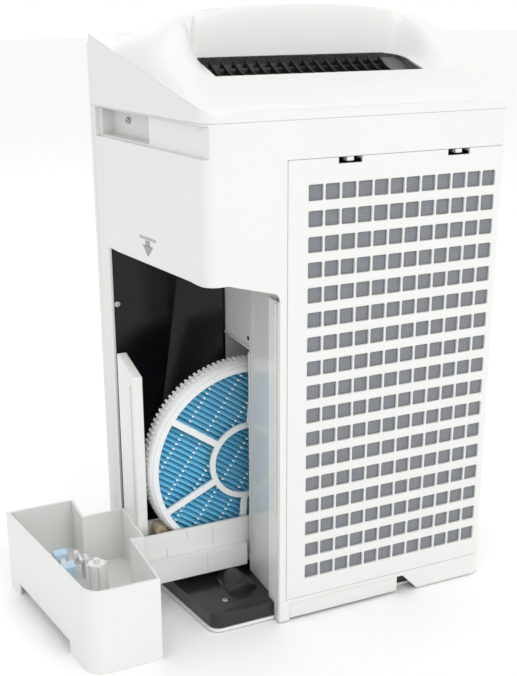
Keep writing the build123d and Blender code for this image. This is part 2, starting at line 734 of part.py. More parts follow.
bay_screw_spots = [(186, 305), (184, 100)]
with BuildPart() as bay_screws:
    for x, z in bay_screw_spots:
        with Locations(Location((x, LINER_FRONT + LINER_WALL + 1.0, z), (90, 0, 0))):
            Cylinder(SCREW_HEAD, 2.0)
save(bay_screws, "bay_screws")

with BuildPart() as base_screw:
    with Locations((133, 78, BASE_TOP - 1.5)):
        Cylinder(SCREW_HEAD, 2.2, align=(Align.CENTER, Align.CENTER, Align.MIN))
        Cylinder(1.4, 10, align=(Align.CENTER, Align.CENTER, Align.MAX))
    fillet(base_screw.edges().filter_by(GeomType.CIRCLE).sort_by(Axis.Z)[-1], 0.8)
save(base_screw, "base_screw")

with BuildPart() as grip_screws:
    for side in (1, -1):
        seat = Plane(
            origin=(side * (half_width(GRIP_SCREW_Y) - GRIP_DEPTH), GRIP_SCREW_Y, GRIP_SCREW_Z),
            z_dir=(side * cos(radians(TAPER)), sin(radians(TAPER)), 0),
        )
        with BuildSketch(seat.offset(0.1)):
            Circle(SCREW_HEAD)
        extrude(amount=2.0)
save(grip_screws, "grip_screws")

# ---------------------------------------------------------------- fan

with BuildPart() as fan_scroll:
    with BuildSketch(y_plane(SLOT_FRONT - BOX_WALL - GAP)):
        with Locations((-FAN_X, FAN_Z)):
            Circle(FAN_RADIUS + SCROLL_GAP + 2.5)
        with Locations((-FAN_X + 57, FAN_Z + 92)):
            Rectangle(113, 186)
        with Locations((-FAN_X, FAN_Z)):
            Circle(FAN_RADIUS + SCROLL_GAP, mode=Mode.SUBTRACT)
        with Locations((-FAN_X + 57, FAN_Z + 95)):
            Rectangle(108, 192, mode=Mode.SUBTRACT)
    extrude(amount=-(SLOT_FRONT - BOX_WALL - GAP - FAN_FRONT + 5))
    with BuildSketch(y_plane(FAN_FRONT - 5)):
        with Locations((-FAN_X, FAN_Z)):
            Circle(FAN_RADIUS + SCROLL_GAP + 2.5)
            Circle(SHAFT_RADIUS + 4, mode=Mode.SUBTRACT)
        with Locations((-FAN_X + 57, FAN_Z + 132)):
            Rectangle(113, 106)
    extrude(amount=-2.5)
save(fan_scroll, "fan_scroll")

with BuildPart() as fan_impeller:
    with BuildSketch(y_plane(FAN_FRONT)):
        with Locations((-FAN_X, FAN_Z)):
            Circle(FAN_RADIUS)
            Circle(SHAFT_RADIUS, mode=Mode.SUBTRACT)
    extrude(amount=2)
    with BuildSketch(y_plane(FAN_FRONT)):
        with Locations((-FAN_X, FAN_Z)):
            Circle(18)
            Circle(SHAFT_RADIUS, mode=Mode.SUBTRACT)
    extrude(amount=22)
    with BuildSketch(y_plane(FAN_FRONT + 1)):
        with Locations((-FAN_X, FAN_Z)):
            with PolarLocations(FAN_RADIUS - 12, FAN_BLADES):
                Rectangle(22, 1.6, rotation=35)
    extrude(amount=FAN_DEPTH - 2)
    with BuildSketch(y_plane(FAN_FRONT + FAN_DEPTH - 2)):
        with Locations((-FAN_X, FAN_Z)):
            Circle(FAN_RADIUS)
            Circle(FAN_RADIUS - 22, mode=Mode.SUBTRACT)
    extrude(amount=2)
save(fan_impeller, "fan_impeller")

with BuildPart() as motor_shaft:
    with BuildSketch(y_plane(FAN_FRONT - 17)):
        with Locations((-FAN_X, FAN_Z)):
            Circle(SHAFT_RADIUS)
    extrude(amount=41)
save(motor_shaft, "motor_shaft")

with BuildPart() as fan_motor:
    with BuildSketch(y_plane(FAN_FRONT - 20)):
        with Locations((-FAN_X, FAN_Z)):
            Circle(MOTOR_RADIUS)
    extrude(amount=12)
    with BuildSketch(y_plane(FAN_FRONT - 18)):
        with Locations((-FAN_X, FAN_Z)):
            Circle(SHAFT_RADIUS + 0.06)
    extrude(amount=11, mode=Mode.SUBTRACT)
save(fan_motor, "fan_motor")

# ---------------------------------------------------------------- rear panel and filters

panel_left = -half_width(REAR) + 0.5
with BuildPart() as rear_panel:
    panel_back = REAR - PANEL_DEPTH
    with BuildSketch(Plane.XY.offset(PANEL_FOOT)):
        add(plan_outline(BODY_FRONT, REAR))
        with Locations(((PANEL_EDGE - FRONT_WIDTH) / 2, REAR - PANEL_DEPTH / 2)):
            Rectangle(PANEL_EDGE + FRONT_WIDTH, PANEL_DEPTH, mode=Mode.INTERSECT)
    extrude(amount=PANEL_TOP - PANEL_FOOT)
    box_between(
        (panel_left + 6, panel_back - 1, PANEL_FOOT + 4),
        (PANEL_EDGE - 3, REAR - WALL, PANEL_TOP - 3),
        mode=Mode.SUBTRACT,
    )
    with BuildSketch(y_plane(REAR)):
        with Locations((-GRILLE_X, GRILLE_Z)):
            with GridLocations(COLUMN_PITCH, ROW_PITCH, CELL_COLUMNS, CELL_ROWS):
                RectangleRounded(CELL, CELL, CELL_RADIUS)
    extrude(amount=-WALL - 1, mode=Mode.SUBTRACT)
    for tab_offset in TAB_OFFSETS:
        middle = GRILLE_X + tab_offset
        box_between(
            (middle - TAB_SLOT_WIDTH / 2, panel_back - 1, PANEL_TOP - TAB_SLOT_HEIGHT),
            (middle + TAB_SLOT_WIDTH / 2, REAR + 1, PANEL_TOP + 1),
            mode=Mode.SUBTRACT,
        )
save(rear_panel, "rear_panel")

for name, tab_offset in zip(("latch_tab_left", "latch_tab_right"), TAB_OFFSETS):
    middle = GRILLE_X + tab_offset
    with BuildPart() as tab:
        tab_foot = PANEL_TOP - TAB_SLOT_HEIGHT + TAB_TRAVEL + 0.3
        box_between(
            (middle - TAB_WIDTH / 2, REAR - PANEL_DEPTH + 1, tab_foot),
            (middle + TAB_WIDTH / 2, REAR - 0.5, PANEL_TOP - 0.2),
        )
        fillet(tab.edges().filter_by(Axis.X).group_by(Axis.Y)[-1], 1)
    save(tab, name)

with BuildPart() as prefilter_mesh:
    mesh_left = panel_left + 6.5
    mesh_rear = REAR - WALL - GAP
    box_between((mesh_left, mesh_rear - MESH_DEPTH, PANEL_FOOT + 5), (PANEL_EDGE - 3.5, mesh_rear, PANEL_TOP - 8))
save(prefilter_mesh, "prefilter_mesh")

carbon_front = HEPA_FRONT + HEPA_DEPTH + FILTER_SPACING
with BuildPart() as carbon_filter:
    low = (FILTER_LEFT, carbon_front, FILTER_FOOT)
    high = (FILTER_RIGHT, carbon_front + CARBON_DEPTH, FILTER_TOP)
    box_between(low, high)
    box_between(
        (low[0] + FRAME_WALL, high[1] - 1, low[2] + FRAME_WALL),
        (high[0] - FRAME_WALL, high[1] + 1, high[2] - FRAME_WALL),
        mode=Mode.SUBTRACT,
    )
save(carbon_filter, "carbon_filter")

with BuildPart() as hepa_frame:
    low = (FILTER_LEFT, HEPA_FRONT, FILTER_FOOT)
    high = (FILTER_RIGHT, HEPA_FRONT + HEPA_DEPTH, FILTER_TOP)
    box_between(low, high)
    box_between(
        (low[0] + FRAME_WALL, low[1] - 1, low[2] + FRAME_WALL),
        (high[0] - FRAME_WALL, high[1] + 1, high[2] - FRAME_WALL),
        mode=Mode.SUBTRACT,
    )
save(hepa_frame, "hepa_frame")

with BuildPart() as hepa_media:
    box_between(
        (low[0] + FRAME_WALL, low[1] + 2, low[2] + FRAME_WALL),
        (high[0] - FRAME_WALL, high[1] - 2, high[2] - FRAME_WALL),
    )
save(hepa_media, "hepa_media")

# ---------------------------------------------------------------- tray


def shifted(x, y):
    """A place in the tray, given where it is when the tray is shut."""
    return (x + OUT.X, y + OUT.Y)


def basin_points():
    """Outer corners of the basin, when shut, starting at the front outer corner."""
    return [
        (half_width(TRAY_FRONT), TRAY_FRONT),
        (half_width(REAR), REAR),
        (TRAY_EDGE, REAR),
        (TRAY_EDGE, TRAY_NECK_REAR),
        (TRAY_NECK, TRAY_NECK_REAR),
        (TRAY_NECK, TRAY_STEP_Y),
        (TRAY_STEP_X, TRAY_STEP_Y),
        (TRAY_STEP_X, TRAY_FRONT),
    ]


def basin_outline(inset=0.0):
    """Plan of the basin, pulled out, with the rounded outer rear corner."""
    with BuildSketch() as plan:
        with BuildLine():
            Polyline(*[shifted(x, y) for x, y in basin_points()], close=True)
        make_face()
        fillet(plan.vertices().sort_by_distance((*shifted(half_width(REAR), REAR), 0))[0], TRAY_RADIUS)
        if inset:
            offset(amount=-inset, kind=Kind.INTERSECTION)
    return plan.sketch


with BuildPart() as water_tray:
    with BuildSketch(Plane.XY.offset(TRAY_FLOOR)):
        add(basin_outline())
    extrude(amount=TRAY_RIM - TRAY_FLOOR)
    # Skirt down to the floor along the outer side and the rear
    with BuildSketch():
        add(basin_outline())
        add(basin_outline(TRAY_WALL), mode=Mode.SUBTRACT)
        neck_low, neck_high = shifted(TRAY_NECK - 1, TRAY_FRONT - 1), shifted(TRAY_EDGE + 20, REAR - TRAY_WALL)
        with Locations(((neck_low[0] + neck_high[0]) / 2, (neck_low[1] + neck_high[1]) / 2)):
            Rectangle(neck_high[0] - neck_low[0], neck_high[1] - neck_low[1], mode=Mode.SUBTRACT)
        step_low, step_high = shifted(TRAY_STEP_X - 30, TRAY_FRONT - 1), shifted(TRAY_STEP_X + 46, TRAY_STEP_Y + 30)
        with Locations(((step_low[0] + step_high[0]) / 2, (step_low[1] + step_high[1]) / 2)):
            Rectangle(step_high[0] - step_low[0], step_high[1] - step_low[1], mode=Mode.SUBTRACT)
    extrude(amount=TRAY_FLOOR + 1)
    arch_low, arch_high = shifted(half_width(REAR) - 25, TRAY_ARCH_FRONT), shifted(FRONT_WIDTH, TRAY_ARCH_REAR)
    box_between((*arch_low, -1), (*arch_high, TRAY_ARCH), mode=Mode.SUBTRACT)
    # Trough for the wheel, with a bulge outside the slot
    trough_low = shifted(TROUGH_END, TROUGH_FRONT)
    trough_high = shifted(TRAY_NECK + TRAY_WALL, TROUGH_REAR)
    box_between((*trough_low, TRAY_FLOOR), (*trough_high, TROUGH_RIM))
    bulge_low, bulge_high = shifted(BULGE_END, TROUGH_REAR - 1), shifted(TRAY_NECK + 1, TROUGH_REAR + BULGE_DEPTH)
    box_between((*bulge_low, TRAY_FLOOR), (*bulge_high, BULGE_TOP))
    # Hollows
    with BuildSketch(Plane.XY.offset(TRAY_FLOOR + TRAY_WALL)):
        add(basin_outline(TRAY_WALL))
    extrude(amount=TRAY_RIM, mode=Mode.SUBTRACT)
    trough_in_low = shifted(TROUGH_END + TRAY_WALL, TROUGH_FRONT + TRAY_WALL)
    trough_in_high = shifted(TRAY_NECK - POST_THICK + 9, TROUGH_REAR - TRAY_WALL)
    box_between(
        (*trough_in_low, TRAY_FLOOR + TRAY_WALL),
        (*trough_in_high, TROUGH_RIM + 1),
        mode=Mode.SUBTRACT,
    )
    # Divider between basin and trough
    divider_low, divider_high = shifted(TRAY_NECK, TROUGH_FRONT), shifted(TRAY_NECK + TRAY_WALL, TROUGH_REAR)
    box_between((*divider_low, TRAY_FLOOR), (*divider_high, TROUGH_RIM))
save(water_tray, "water_tray")

with BuildPart() as slot_cover:
    post_low, post_high = shifted(TRAY_NECK - POST_THICK, POST_FRONT + 2), shifted(TRAY_NECK, POST_REAR)
    box_between((*post_low, TROUGH_RIM + 8), (*post_high, POST_TOP))
    top_edges = slot_cover.edges().filter_by(Axis.X).group_by(Axis.Z)[-1]
    chamfer(top_edges.sort_by(Axis.Y)[0], 9, 16)
    # Hollow from the wheel's side, leaving a channel
    box_between(
        (post_low[0] - 1, post_low[1] + TRAY_WALL, TROUGH_RIM + 10),
        (post_high[0] - TRAY_WALL, post_high[1] - TRAY_WALL, POST_TOP - 12),
        mode=Mode.SUBTRACT,
    )
    # Foot that carries it on the basin's inner wall
    foot_low, foot_high = shifted(TRAY_NECK + FIT - POST_THICK, POST_FRONT + 2), shifted(TRAY_NECK, TROUGH_FRONT - 0.5)
    box_between((*foot_low, 60), (foot_high[0] - FIT, foot_high[1], TROUGH_RIM + 9))
save(slot_cover, "slot_cover")

with BuildPart() as valve_post:
    with BuildSketch(Plane.XY.offset(TRAY_FLOOR + TRAY_WALL)):
        with Locations(shifted(VALVE_X, VALVE_Y)):
            Circle(VALVE_RADIUS + 4)
    extrude(amount=3)
    with BuildSketch(Plane.XY.offset(TRAY_FLOOR + TRAY_WALL)):
        with Locations(shifted(VALVE_X, VALVE_Y)):
            Circle(VALVE_RADIUS)
            with PolarLocations(VALVE_RADIUS, 4):
                Rectangle(5, 2)
    extrude(amount=VALVE_TOP - TRAY_FLOOR - TRAY_WALL)
    with BuildSketch(Plane.XY.offset(VALVE_TOP)):
        with Locations(shifted(VALVE_X, VALVE_Y)):
            Circle(3)
    extrude(amount=5)
save(valve_post, "valve_post")

with BuildPart() as float_blocks:
    for step in (-0.5, 0.5):
        middle = (*shifted(FLOAT_X, FLOAT_Y + step * FLOAT_SPREAD), FLOAT_Z)
        with Locations(middle):
            Box(*FLOAT_SIZE)
    fillet(float_blocks.edges().filter_by(Axis.Z), 2.5)
save(float_blocks, "float_blocks")

FLOAT_PIN_X = FLOAT_X - 24.0
with BuildPart() as float_arm:
    bar = FLOAT_SPREAD - FLOAT_SIZE[1]
    with Locations((*shifted(FLOAT_X, FLOAT_Y), FLOAT_Z)):
        Box(6, bar, 5)
    with Locations((*shifted((FLOAT_X + FLOAT_PIN_X) / 2 - 1, FLOAT_Y), FLOAT_Z)):
        Box(FLOAT_X - FLOAT_PIN_X, 5, 4)
    with Locations(Location((*shifted(FLOAT_PIN_X, FLOAT_Y), FLOAT_Z), (90, 0, 0))):
        Cylinder(4, 7)
        Cylinder(FLOAT_PIN + 0.06, 9, mode=Mode.SUBTRACT)
save(float_arm, "float_arm")

with BuildPart() as float_bracket:
    for side in (-1, 1):
        x, y = shifted(FLOAT_PIN_X, FLOAT_Y + side * 5.2)
        box_between(
            (x - 4, y - 1.2, TRAY_FLOOR + TRAY_WALL),
            (x + 4, y + 1.2, FLOAT_Z + 4),
        )
    x, y = shifted(FLOAT_PIN_X, FLOAT_Y)
    box_between((x - 4, y - 6.4, TRAY_FLOOR + TRAY_WALL), (x + 4, y + 6.4, TRAY_FLOOR + TRAY_WALL + 2))
    with Locations(Location((*shifted(FLOAT_PIN_X, FLOAT_Y), FLOAT_Z), (90, 0, 0))):
        Cylinder(FLOAT_PIN, 12)
save(float_bracket, "float_bracket")

# ---------------------------------------------------------------- filter wheel

wheel_x, wheel_y = shifted(WHEEL_X, WHEEL_Y)
wheel_rear = wheel_y + WHEEL_DEPTH / 2
wheel_front = wheel_y - WHEEL_DEPTH / 2
media_radius = WHEEL_RADIUS - TOOTH_DEPTH - RING_WIDTH


def wheel_face(plane_y, outer):
    """Ring, hub ring and spokes of one wheel frame, on a plane across the wheel's axis."""
    with BuildSketch(y_plane(plane_y)) as face:
        with Locations((-wheel_x, WHEEL_Z)):
            Circle(outer)
            Circle(media_radius, mode=Mode.SUBTRACT)
            Circle(HUB_RADIUS)
            Circle(HUB_RADIUS - HUB_RING, mode=Mode.SUBTRACT)
            spoke = media_radius - HUB_RADIUS + 2
            turn = 180 - SPOKE_ANGLE
            with PolarLocations(HUB_RADIUS + spoke / 2 - 1, SPOKE_COUNT, start_angle=turn):
                Rectangle(spoke, SPOKE_WIDTH)
    return face.sketch


with BuildPart() as wheel_frame_rear:
    add(extrude(wheel_face(wheel_rear - FACE_DEPTH, WHEEL_RADIUS - TOOTH_DEPTH - 2), amount=FACE_DEPTH))
    with BuildSketch(y_plane(wheel_y)):
        with Locations((-wheel_x, WHEEL_Z)):
            Circle(WHEEL_RADIUS - TOOTH_DEPTH - 2)
            Circle(media_radius + 2, mode=Mode.SUBTRACT)
    extrude(amount=WHEEL_DEPTH / 2)
save(wheel_frame_rear, "wheel_frame_rear")

with BuildPart() as wheel_frame_front:
    add(extrude(wheel_face(wheel_front, WHEEL_RADIUS - TOOTH_DEPTH), amount=FACE_DEPTH))
    with BuildSketch(y_plane(wheel_front)):
        with Locations((-wheel_x, WHEEL_Z)):
            Circle(WHEEL_RADIUS - TOOTH_DEPTH)
            Circle(media_radius + 2, mode=Mode.SUBTRACT)
            with PolarLocations(WHEEL_RADIUS - TOOTH_DEPTH / 2 - 0.5, TOOTH_COUNT):
                Rectangle(TOOTH_DEPTH + 1, 2.9)
    extrude(amount=WHEEL_DEPTH / 2)
save(wheel_frame_front, "wheel_frame_front")

with BuildPart() as wheel_media:
    with BuildSketch(y_plane(wheel_front + FACE_DEPTH)):
        with Locations((-wheel_x, WHEEL_Z)):
            Circle(media_radius + 2)
    extrude(amount=WHEEL_DEPTH - 2 * FACE_DEPTH)
save(wheel_media, "wheel_media")

trough_inside = (TROUGH_FRONT + TRAY_WALL + OUT.Y, TROUGH_REAR - TRAY_WALL + OUT.Y)
roller_reach = WHEEL_RADIUS + ROLLER_RADIUS + GAP
roller_places = [
    (wheel_x + roller_reach * cos(radians(a)), WHEEL_Z + roller_reach * sin(radians(a))) for a in ROLLER_ANGLES
]
for number, (x, z) in enumerate(roller_places, start=1):
    with BuildPart() as roller:
        with BuildSketch(y_plane(wheel_front)):
            with Locations((-x, z)):
                Circle(ROLLER_RADIUS)
                Circle(ROLLER_PIN + 0.06, mode=Mode.SUBTRACT)
        extrude(amount=WHEEL_DEPTH / 2)
    save(roller, f"wheel_roller_{number}")

with BuildPart() as roller_pins:
    for x, z in roller_places:
        with BuildSketch(y_plane(trough_inside[0])):
            with Locations((-x, z)):
                Circle(ROLLER_PIN)
        extrude(amount=trough_inside[1] - trough_inside[0])
save(roller_pins, "roller_pins")

# ---------------------------------------------------------------- wheel drive, sensors, inlet

pinion_reach = WHEEL_RADIUS + PINION_RADIUS + GAP
pinion_x = WHEEL_X + pinion_reach * cos(radians(PINION_ANGLE))
pinion_z = WHEEL_Z + pinion_reach * sin(radians(PINION_ANGLE))
pinion_front = WHEEL_Y - WHEEL_DEPTH / 2
with BuildPart() as drive_pinion:
    with BuildSketch(y_plane(pinion_front)):
        with Locations((-pinion_x, pinion_z)):
            Circle(PINION_RADIUS - TOOTH_DEPTH)
            with PolarLocations(PINION_RADIUS - TOOTH_DEPTH / 2 - 0.5, 10):
                Rectangle(TOOTH_DEPTH + 1, 2.6)
    extrude(amount=WHEEL_DEPTH / 2)
    with BuildSketch(y_plane(SLOT_FRONT + 12)):
        with Locations((-pinion_x, pinion_z)):
            Circle(PINION_SHAFT)
    extrude(amount=pinion_front - SLOT_FRONT - 11)
save(drive_pinion, "drive_pinion")

with BuildPart() as wheel_motor:
    with BuildSketch(y_plane(SLOT_FRONT)):
        with Locations((-pinion_x, pinion_z)):
            Circle(14)
    extrude(amount=20)
    with BuildSketch(y_plane(SLOT_FRONT + 10)):
        with Locations((-pinion_x, pinion_z)):
            Circle(PINION_SHAFT + 0.06)
    extrude(amount=12, mode=Mode.SUBTRACT)
save(wheel_motor, "wheel_motor")

with BuildPart() as ion_unit:
    box_between((-30, OUTLET_REAR + 4.4, 486), (30, OUTLET_REAR + 22, 508))
save(ion_unit, "ion_unit")

vent_y = -15.0
vent_plane = Plane(
    origin=(-half_width(vent_y), vent_y, 412.5),
    x_dir=(sin(radians(TAPER)), cos(radians(TAPER)), 0),
    z_dir=(-cos(radians(TAPER)), sin(radians(TAPER)), 0),
)
with BuildPart() as sensor_cover:
    with BuildSketch(vent_plane.offset(-2.0)):
        RectangleRounded(48, 33, 3)
        with GridLocations(0, 5, 1, 5):
            SlotOverall(36, 2.2, mode=Mode.SUBTRACT)
    extrude(amount=2.0)
save(sensor_cover, "sensor_cover")

with BuildPart() as dust_sensor:
    with BuildSketch(vent_plane.offset(-12)):
        Rectangle(44, 30)
    extrude(amount=9)
save(dust_sensor, "dust_sensor")

with BuildPart() as cord_gland:
    with Locations(Location((-half_width(60) - 0.2, 60, 60), (0, 90, 0))):
        Cylinder(6.0, 12)
        Cylinder(3.0, 14, mode=Mode.SUBTRACT)
save(cord_gland, "cord_gland")
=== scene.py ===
"""Looks for the humidifying air purifier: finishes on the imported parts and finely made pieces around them."""

import logging
import math
from dataclasses import dataclass, field
from enum import Enum
from typing import Any, Callable, Sequence

import bpy
from mathutils import Matrix, Quaternion, Vector


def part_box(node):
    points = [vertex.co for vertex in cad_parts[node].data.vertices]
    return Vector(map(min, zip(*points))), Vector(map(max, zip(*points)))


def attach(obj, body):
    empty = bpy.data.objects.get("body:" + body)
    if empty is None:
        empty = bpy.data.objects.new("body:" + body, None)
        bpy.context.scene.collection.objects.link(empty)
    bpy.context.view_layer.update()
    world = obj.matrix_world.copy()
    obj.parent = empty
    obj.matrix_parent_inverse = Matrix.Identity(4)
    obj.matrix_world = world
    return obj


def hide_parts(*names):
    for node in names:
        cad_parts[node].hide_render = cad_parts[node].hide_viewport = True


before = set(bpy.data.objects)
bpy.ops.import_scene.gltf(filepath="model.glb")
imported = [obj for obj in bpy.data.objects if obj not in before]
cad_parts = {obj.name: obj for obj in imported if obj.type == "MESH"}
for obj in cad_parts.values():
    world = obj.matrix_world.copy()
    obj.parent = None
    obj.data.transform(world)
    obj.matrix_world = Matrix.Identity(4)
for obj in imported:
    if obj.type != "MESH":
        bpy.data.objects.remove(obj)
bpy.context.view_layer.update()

LOG = logging.getLogger("purifier")
MM = 0.001
SOFT_EDGE = 40.0
UP = Vector((0, 0, 1))


# ------------------------------------------------------------------ shader graph


class Sock:
    """A node socket, or a number, that takes part in Python expressions."""

    def __init__(self, graph: "Graph", value: Any) -> None:
        """Wrap one output socket of a graph.

        Args:
            graph: the graph that new Math nodes go into.
            value: an output socket.
        """
        self.graph = graph
        self.value = value

    def _math(self, operation: str, *others: Any, **settings: Any) -> "Sock":
        """Add one Math node on this socket and the others."""
        values = {0: self, **{index + 1: other for index, other in enumerate(others)}}
        return self.graph.node("ShaderNodeMath", {"operation": operation, **settings}, values)

    def __add__(self, other: Any) -> "Sock":
        """Sum."""
        return self._math("ADD", other)

    __radd__ = __add__

    def __mul__(self, other: Any) -> "Sock":
        """Product."""
        return self._math("MULTIPLY", other)

    __rmul__ = __mul__

    def __sub__(self, other: Any) -> "Sock":
        """Difference."""
        return self._math("SUBTRACT", other)

    def __rsub__(self, other: float) -> "Sock":
        """A number minus this socket."""
        return self._math("MULTIPLY", -1.0)._math("ADD", other)

    def __gt__(self, other: Any) -> "Sock":
        """One where this is the greater, else zero."""
        return self._math("GREATER_THAN", other)

    def sin(self) -> "Sock":
        """Sine, in radians."""
        return self._math("SINE")

    def power(self, exponent: float) -> "Sock":
        """This value to a power."""
        return self._math("POWER", exponent)

    def clamp(self) -> "Sock":
        """This value held between zero and one."""
        return self._math("ADD", 0.0, use_clamp=True)


class Graph:
    """A material's node tree, with one method that makes every node."""

    def __init__(self, name: str) -> None:
        """Start an empty material.

        Args:
            name: the material's name.
        """
        self.material = bpy.data.materials.new(name)
        self.material.use_nodes = True
        self.tree = self.material.node_tree
        self.tree.nodes.clear()

    def node(self, kind: str, settings: dict | None = None, values: dict | None = None, out: Any = 0) -> Sock:
        """Add one node.

        Args:
            kind: the node's type name.
            settings: the node's own properties.
            values: values or wrapped links, by input name or number.
            out: the output to return, by name or number.

        Returns:
            The chosen output, wrapped.
        """
        made = self.tree.nodes.new(kind)
        for key, value in (settings or {}).items():
            setattr(made, key, value)
        for key, value in (values or {}).items():
            if isinstance(value, Sock):
                self.tree.links.new(value.value, made.inputs[key])
            else:
                made.inputs[key].default_value = value
        return Sock(self, made.outputs[out]) if made.outputs else Sock(self, made)

    def object_axes(self) -> tuple[Sock, Sock, Sock]:
        """The object coordinates as three numbers, in metres."""
        place = self.node("ShaderNodeTexCoord", out="Object")
        split = self.node("ShaderNodeSeparateXYZ", None, {0: place})
        outputs = split.value.node.outputs
        return Sock(self, outputs[0]), Sock(self, outputs[1]), Sock(self, outputs[2])

    def noise(self, scale: float, detail: float = 2.0, stretch: Sequence[float] = (1, 1, 1)) -> Sock:
        """Noise on the object coordinates.

        Args:
            scale: noise cells per metre.
            detail: octaves.
            stretch: how much denser the noise is along each axis.

        Returns:
            The noise value, from zero to one.
        """
        place = self.node("ShaderNodeTexCoord", out="Object")
        mapped = self.node("ShaderNodeMapping", None, {"Vector": place, "Scale": tuple(stretch)})
        return self.node(
            "ShaderNodeTexNoise", None, {"Vector": mapped, "Scale": scale, "Detail": detail}, out="Fac"
        )

    def mix(self, share: Any, first: Any, second: Any) -> Sock:
        """Mix two colours by a share from zero to one."""
        made = self.tree.nodes.new("ShaderNodeMix")
        made.data_type = "RGBA"
        for socket, value in ((made.inputs[0], share), (made.inputs[6], first), (made.inputs[7], second)):
            if isinstance(value, Sock):
                self.tree.links.new(value.value, socket)
            else:
                socket.default_value = value
        return Sock(self, made.outputs[2])

    def bump(self, height: Any, distance: float, strength: float = 1.0, rounded: float = 0.0) -> Sock:
        """A bump from a height, on edges that look rounded.

        Args:
            height: the height, from zero to one.
            distance: what a height of one stands for, in metres.
            strength: share of the bump that is used.
            rounded: radius of the softened edges, in metres.

        Returns:
            The normal.
        """
        values = {"Height": height, "Distance": distance, "Strength": strength}
        if rounded:
            values["Normal"] = self.node("ShaderNodeBevel", {"samples": 4}, {"Radius": rounded})
        return self.node("ShaderNodeBump", None, values)

    def finish(self, **inputs: Any) -> bpy.types.Material:
        """Close the material with a Principled shader.

        Args:
            inputs: the shader's inputs, with underscores for spaces.

        Returns:
            The material.
        """
        values = {key.replace("_", " "): value for key, value in inputs.items()}
        shader = self.node("ShaderNodeBsdfPrincipled", None, values)
        self.node("ShaderNodeOutputMaterial", None, {"Surface": shader})
        return self.material


def rgb(red: float, green: float, blue: float) -> tuple[float, float, float, float]:
    """A colour with full alpha."""
    return (red, green, blue, 1.0)


def shade(colour: Sequence[float], share: float) -> tuple[float, float, float, float]:
    """A colour made darker or lighter by a share."""
    return (colour[0] * share, colour[1] * share, colour[2] * share, 1.0)


# ------------------------------------------------------------------ finishes


@dataclass(frozen=True)
class Moulded:
    """Injection-moulded plastic: faint colour drift, mould texture, scuffs that dull the gloss."""

    name: str
    colour: tuple[float, float, float, float]
    roughness: float = 0.25
    coat: float = 0.3
    grain: float = 0.00002
    grain_scale: float = 900.0
    scuffs: float = 0.12
    rounded: float = 0.0008
    subsurface: float = 0.0
    ior: float = 1.5

    def make(self) -> bpy.types.Material:
        """Build the material."""
        graph = Graph(self.name)
        drift = graph.noise(7.0, 3.0)
        fine = graph.noise(self.grain_scale, 2.0)
        marks = graph.noise(60.0, 6.0, (1.0, 1.0, 0.25))
        worn = ((marks - 0.56) * 9.0).clamp()
        low = shade(self.colour, 0.965)
        colour = graph.mix(drift, low, self.colour)
        rough = worn * self.scuffs + (fine * 0.05 + self.roughness)
        return graph.finish(
            Base_Color=colour,
            Roughness=rough,
            Coat_Weight=self.coat,
            Coat_Roughness=0.08,
            IOR=self.ior,
            Subsurface_Weight=self.subsurface,
            Subsurface_Radius=(0.01, 0.01, 0.01),
            Normal=graph.bump(fine, self.grain, 0.5, self.rounded),
        )


@dataclass(frozen=True)
class Metal:
    """Machined or plated metal with fine turning lines and tarnish."""

    name: str
    colour: tuple[float, float, float, float]
    roughness: float = 0.3
    lines: float = 2600.0

    def make(self) -> bpy.types.Material:
        """Build the material."""
        graph = Graph(self.name)
        streak = graph.noise(self.lines, 2.0, (1.0, 0.05, 1.0))
        tarnish = graph.noise(150.0, 4.0)
        colour = graph.mix(((tarnish - 0.5) * 3.0).clamp(), self.colour, shade(self.colour, 0.6))
        return graph.finish(
            Base_Color=colour,
            Metallic=1.0,
            Roughness=streak * 0.2 + self.roughness,
            Normal=graph.bump(streak, 0.00002, 0.4, 0.0003),
        )


@dataclass(frozen=True)
class Mesh:
    """Fine woven mesh: dark gaps between round threads, in the plane of the panel."""

    name: str
    thread: tuple[float, float, float, float]
    gap: tuple[float, float, float, float]
    pitch: float = 0.0016
    drift: float = 0.2

    def make(self) -> bpy.types.Material:
        """Build the material."""
        graph = Graph(self.name)
        x, _, z = graph.object_axes()
        turn = 2 * math.pi / self.pitch
        across = (x * turn).sin() * 0.5 + 0.5
        along = (z * turn).sin() * 0.5 + 0.5
        weave = across._math("MAXIMUM", along)
        cloud = graph.noise(26.0, 3.0, (1.0, 1.0, 0.6))
        share = (weave.power(2.0) * 0.75 + (cloud - 0.5) * self.drift).clamp()
        return graph.finish(
            Base_Color=graph.mix(share, self.gap, self.thread),
            Roughness=0.6 - weave * 0.15,
            Sheen_Weight=0.2,
            Normal=graph.bump(weave, 0.0004, 0.8),
        )


@dataclass(frozen=True)
class Felt:
    """Non-woven filter cloth: fibres, and random patches of painted shade, a darker copy of the cloth's colour
    for the shade in its pleat valleys.
    """

    name: str
    colour: tuple[float, float, float, float]
    # painted shade: the cloth as it looks in its shaded pleat valleys
    valley_shade: tuple[float, float, float, float]

    def make(self) -> bpy.types.Material:
        """Build the material."""
        graph = Graph(self.name)
        fibre = graph.noise(1500.0, 4.0, (1.0, 0.4, 1.0))
        shade_patch = graph.noise(45.0, 3.0)
        # mixes the cloth colour with its painted valley shade by fibre noise and random patches
        share = (fibre * 0.55 + shade_patch * 0.6 - 0.1).clamp()
        return graph.finish(
            Base_Color=graph.mix(share, self.valley_shade, self.colour),
            Roughness=0.8 + fibre * 0.15,
            Sheen_Weight=0.3,
            Normal=graph.bump(fibre, 0.0003, 0.7),
        )


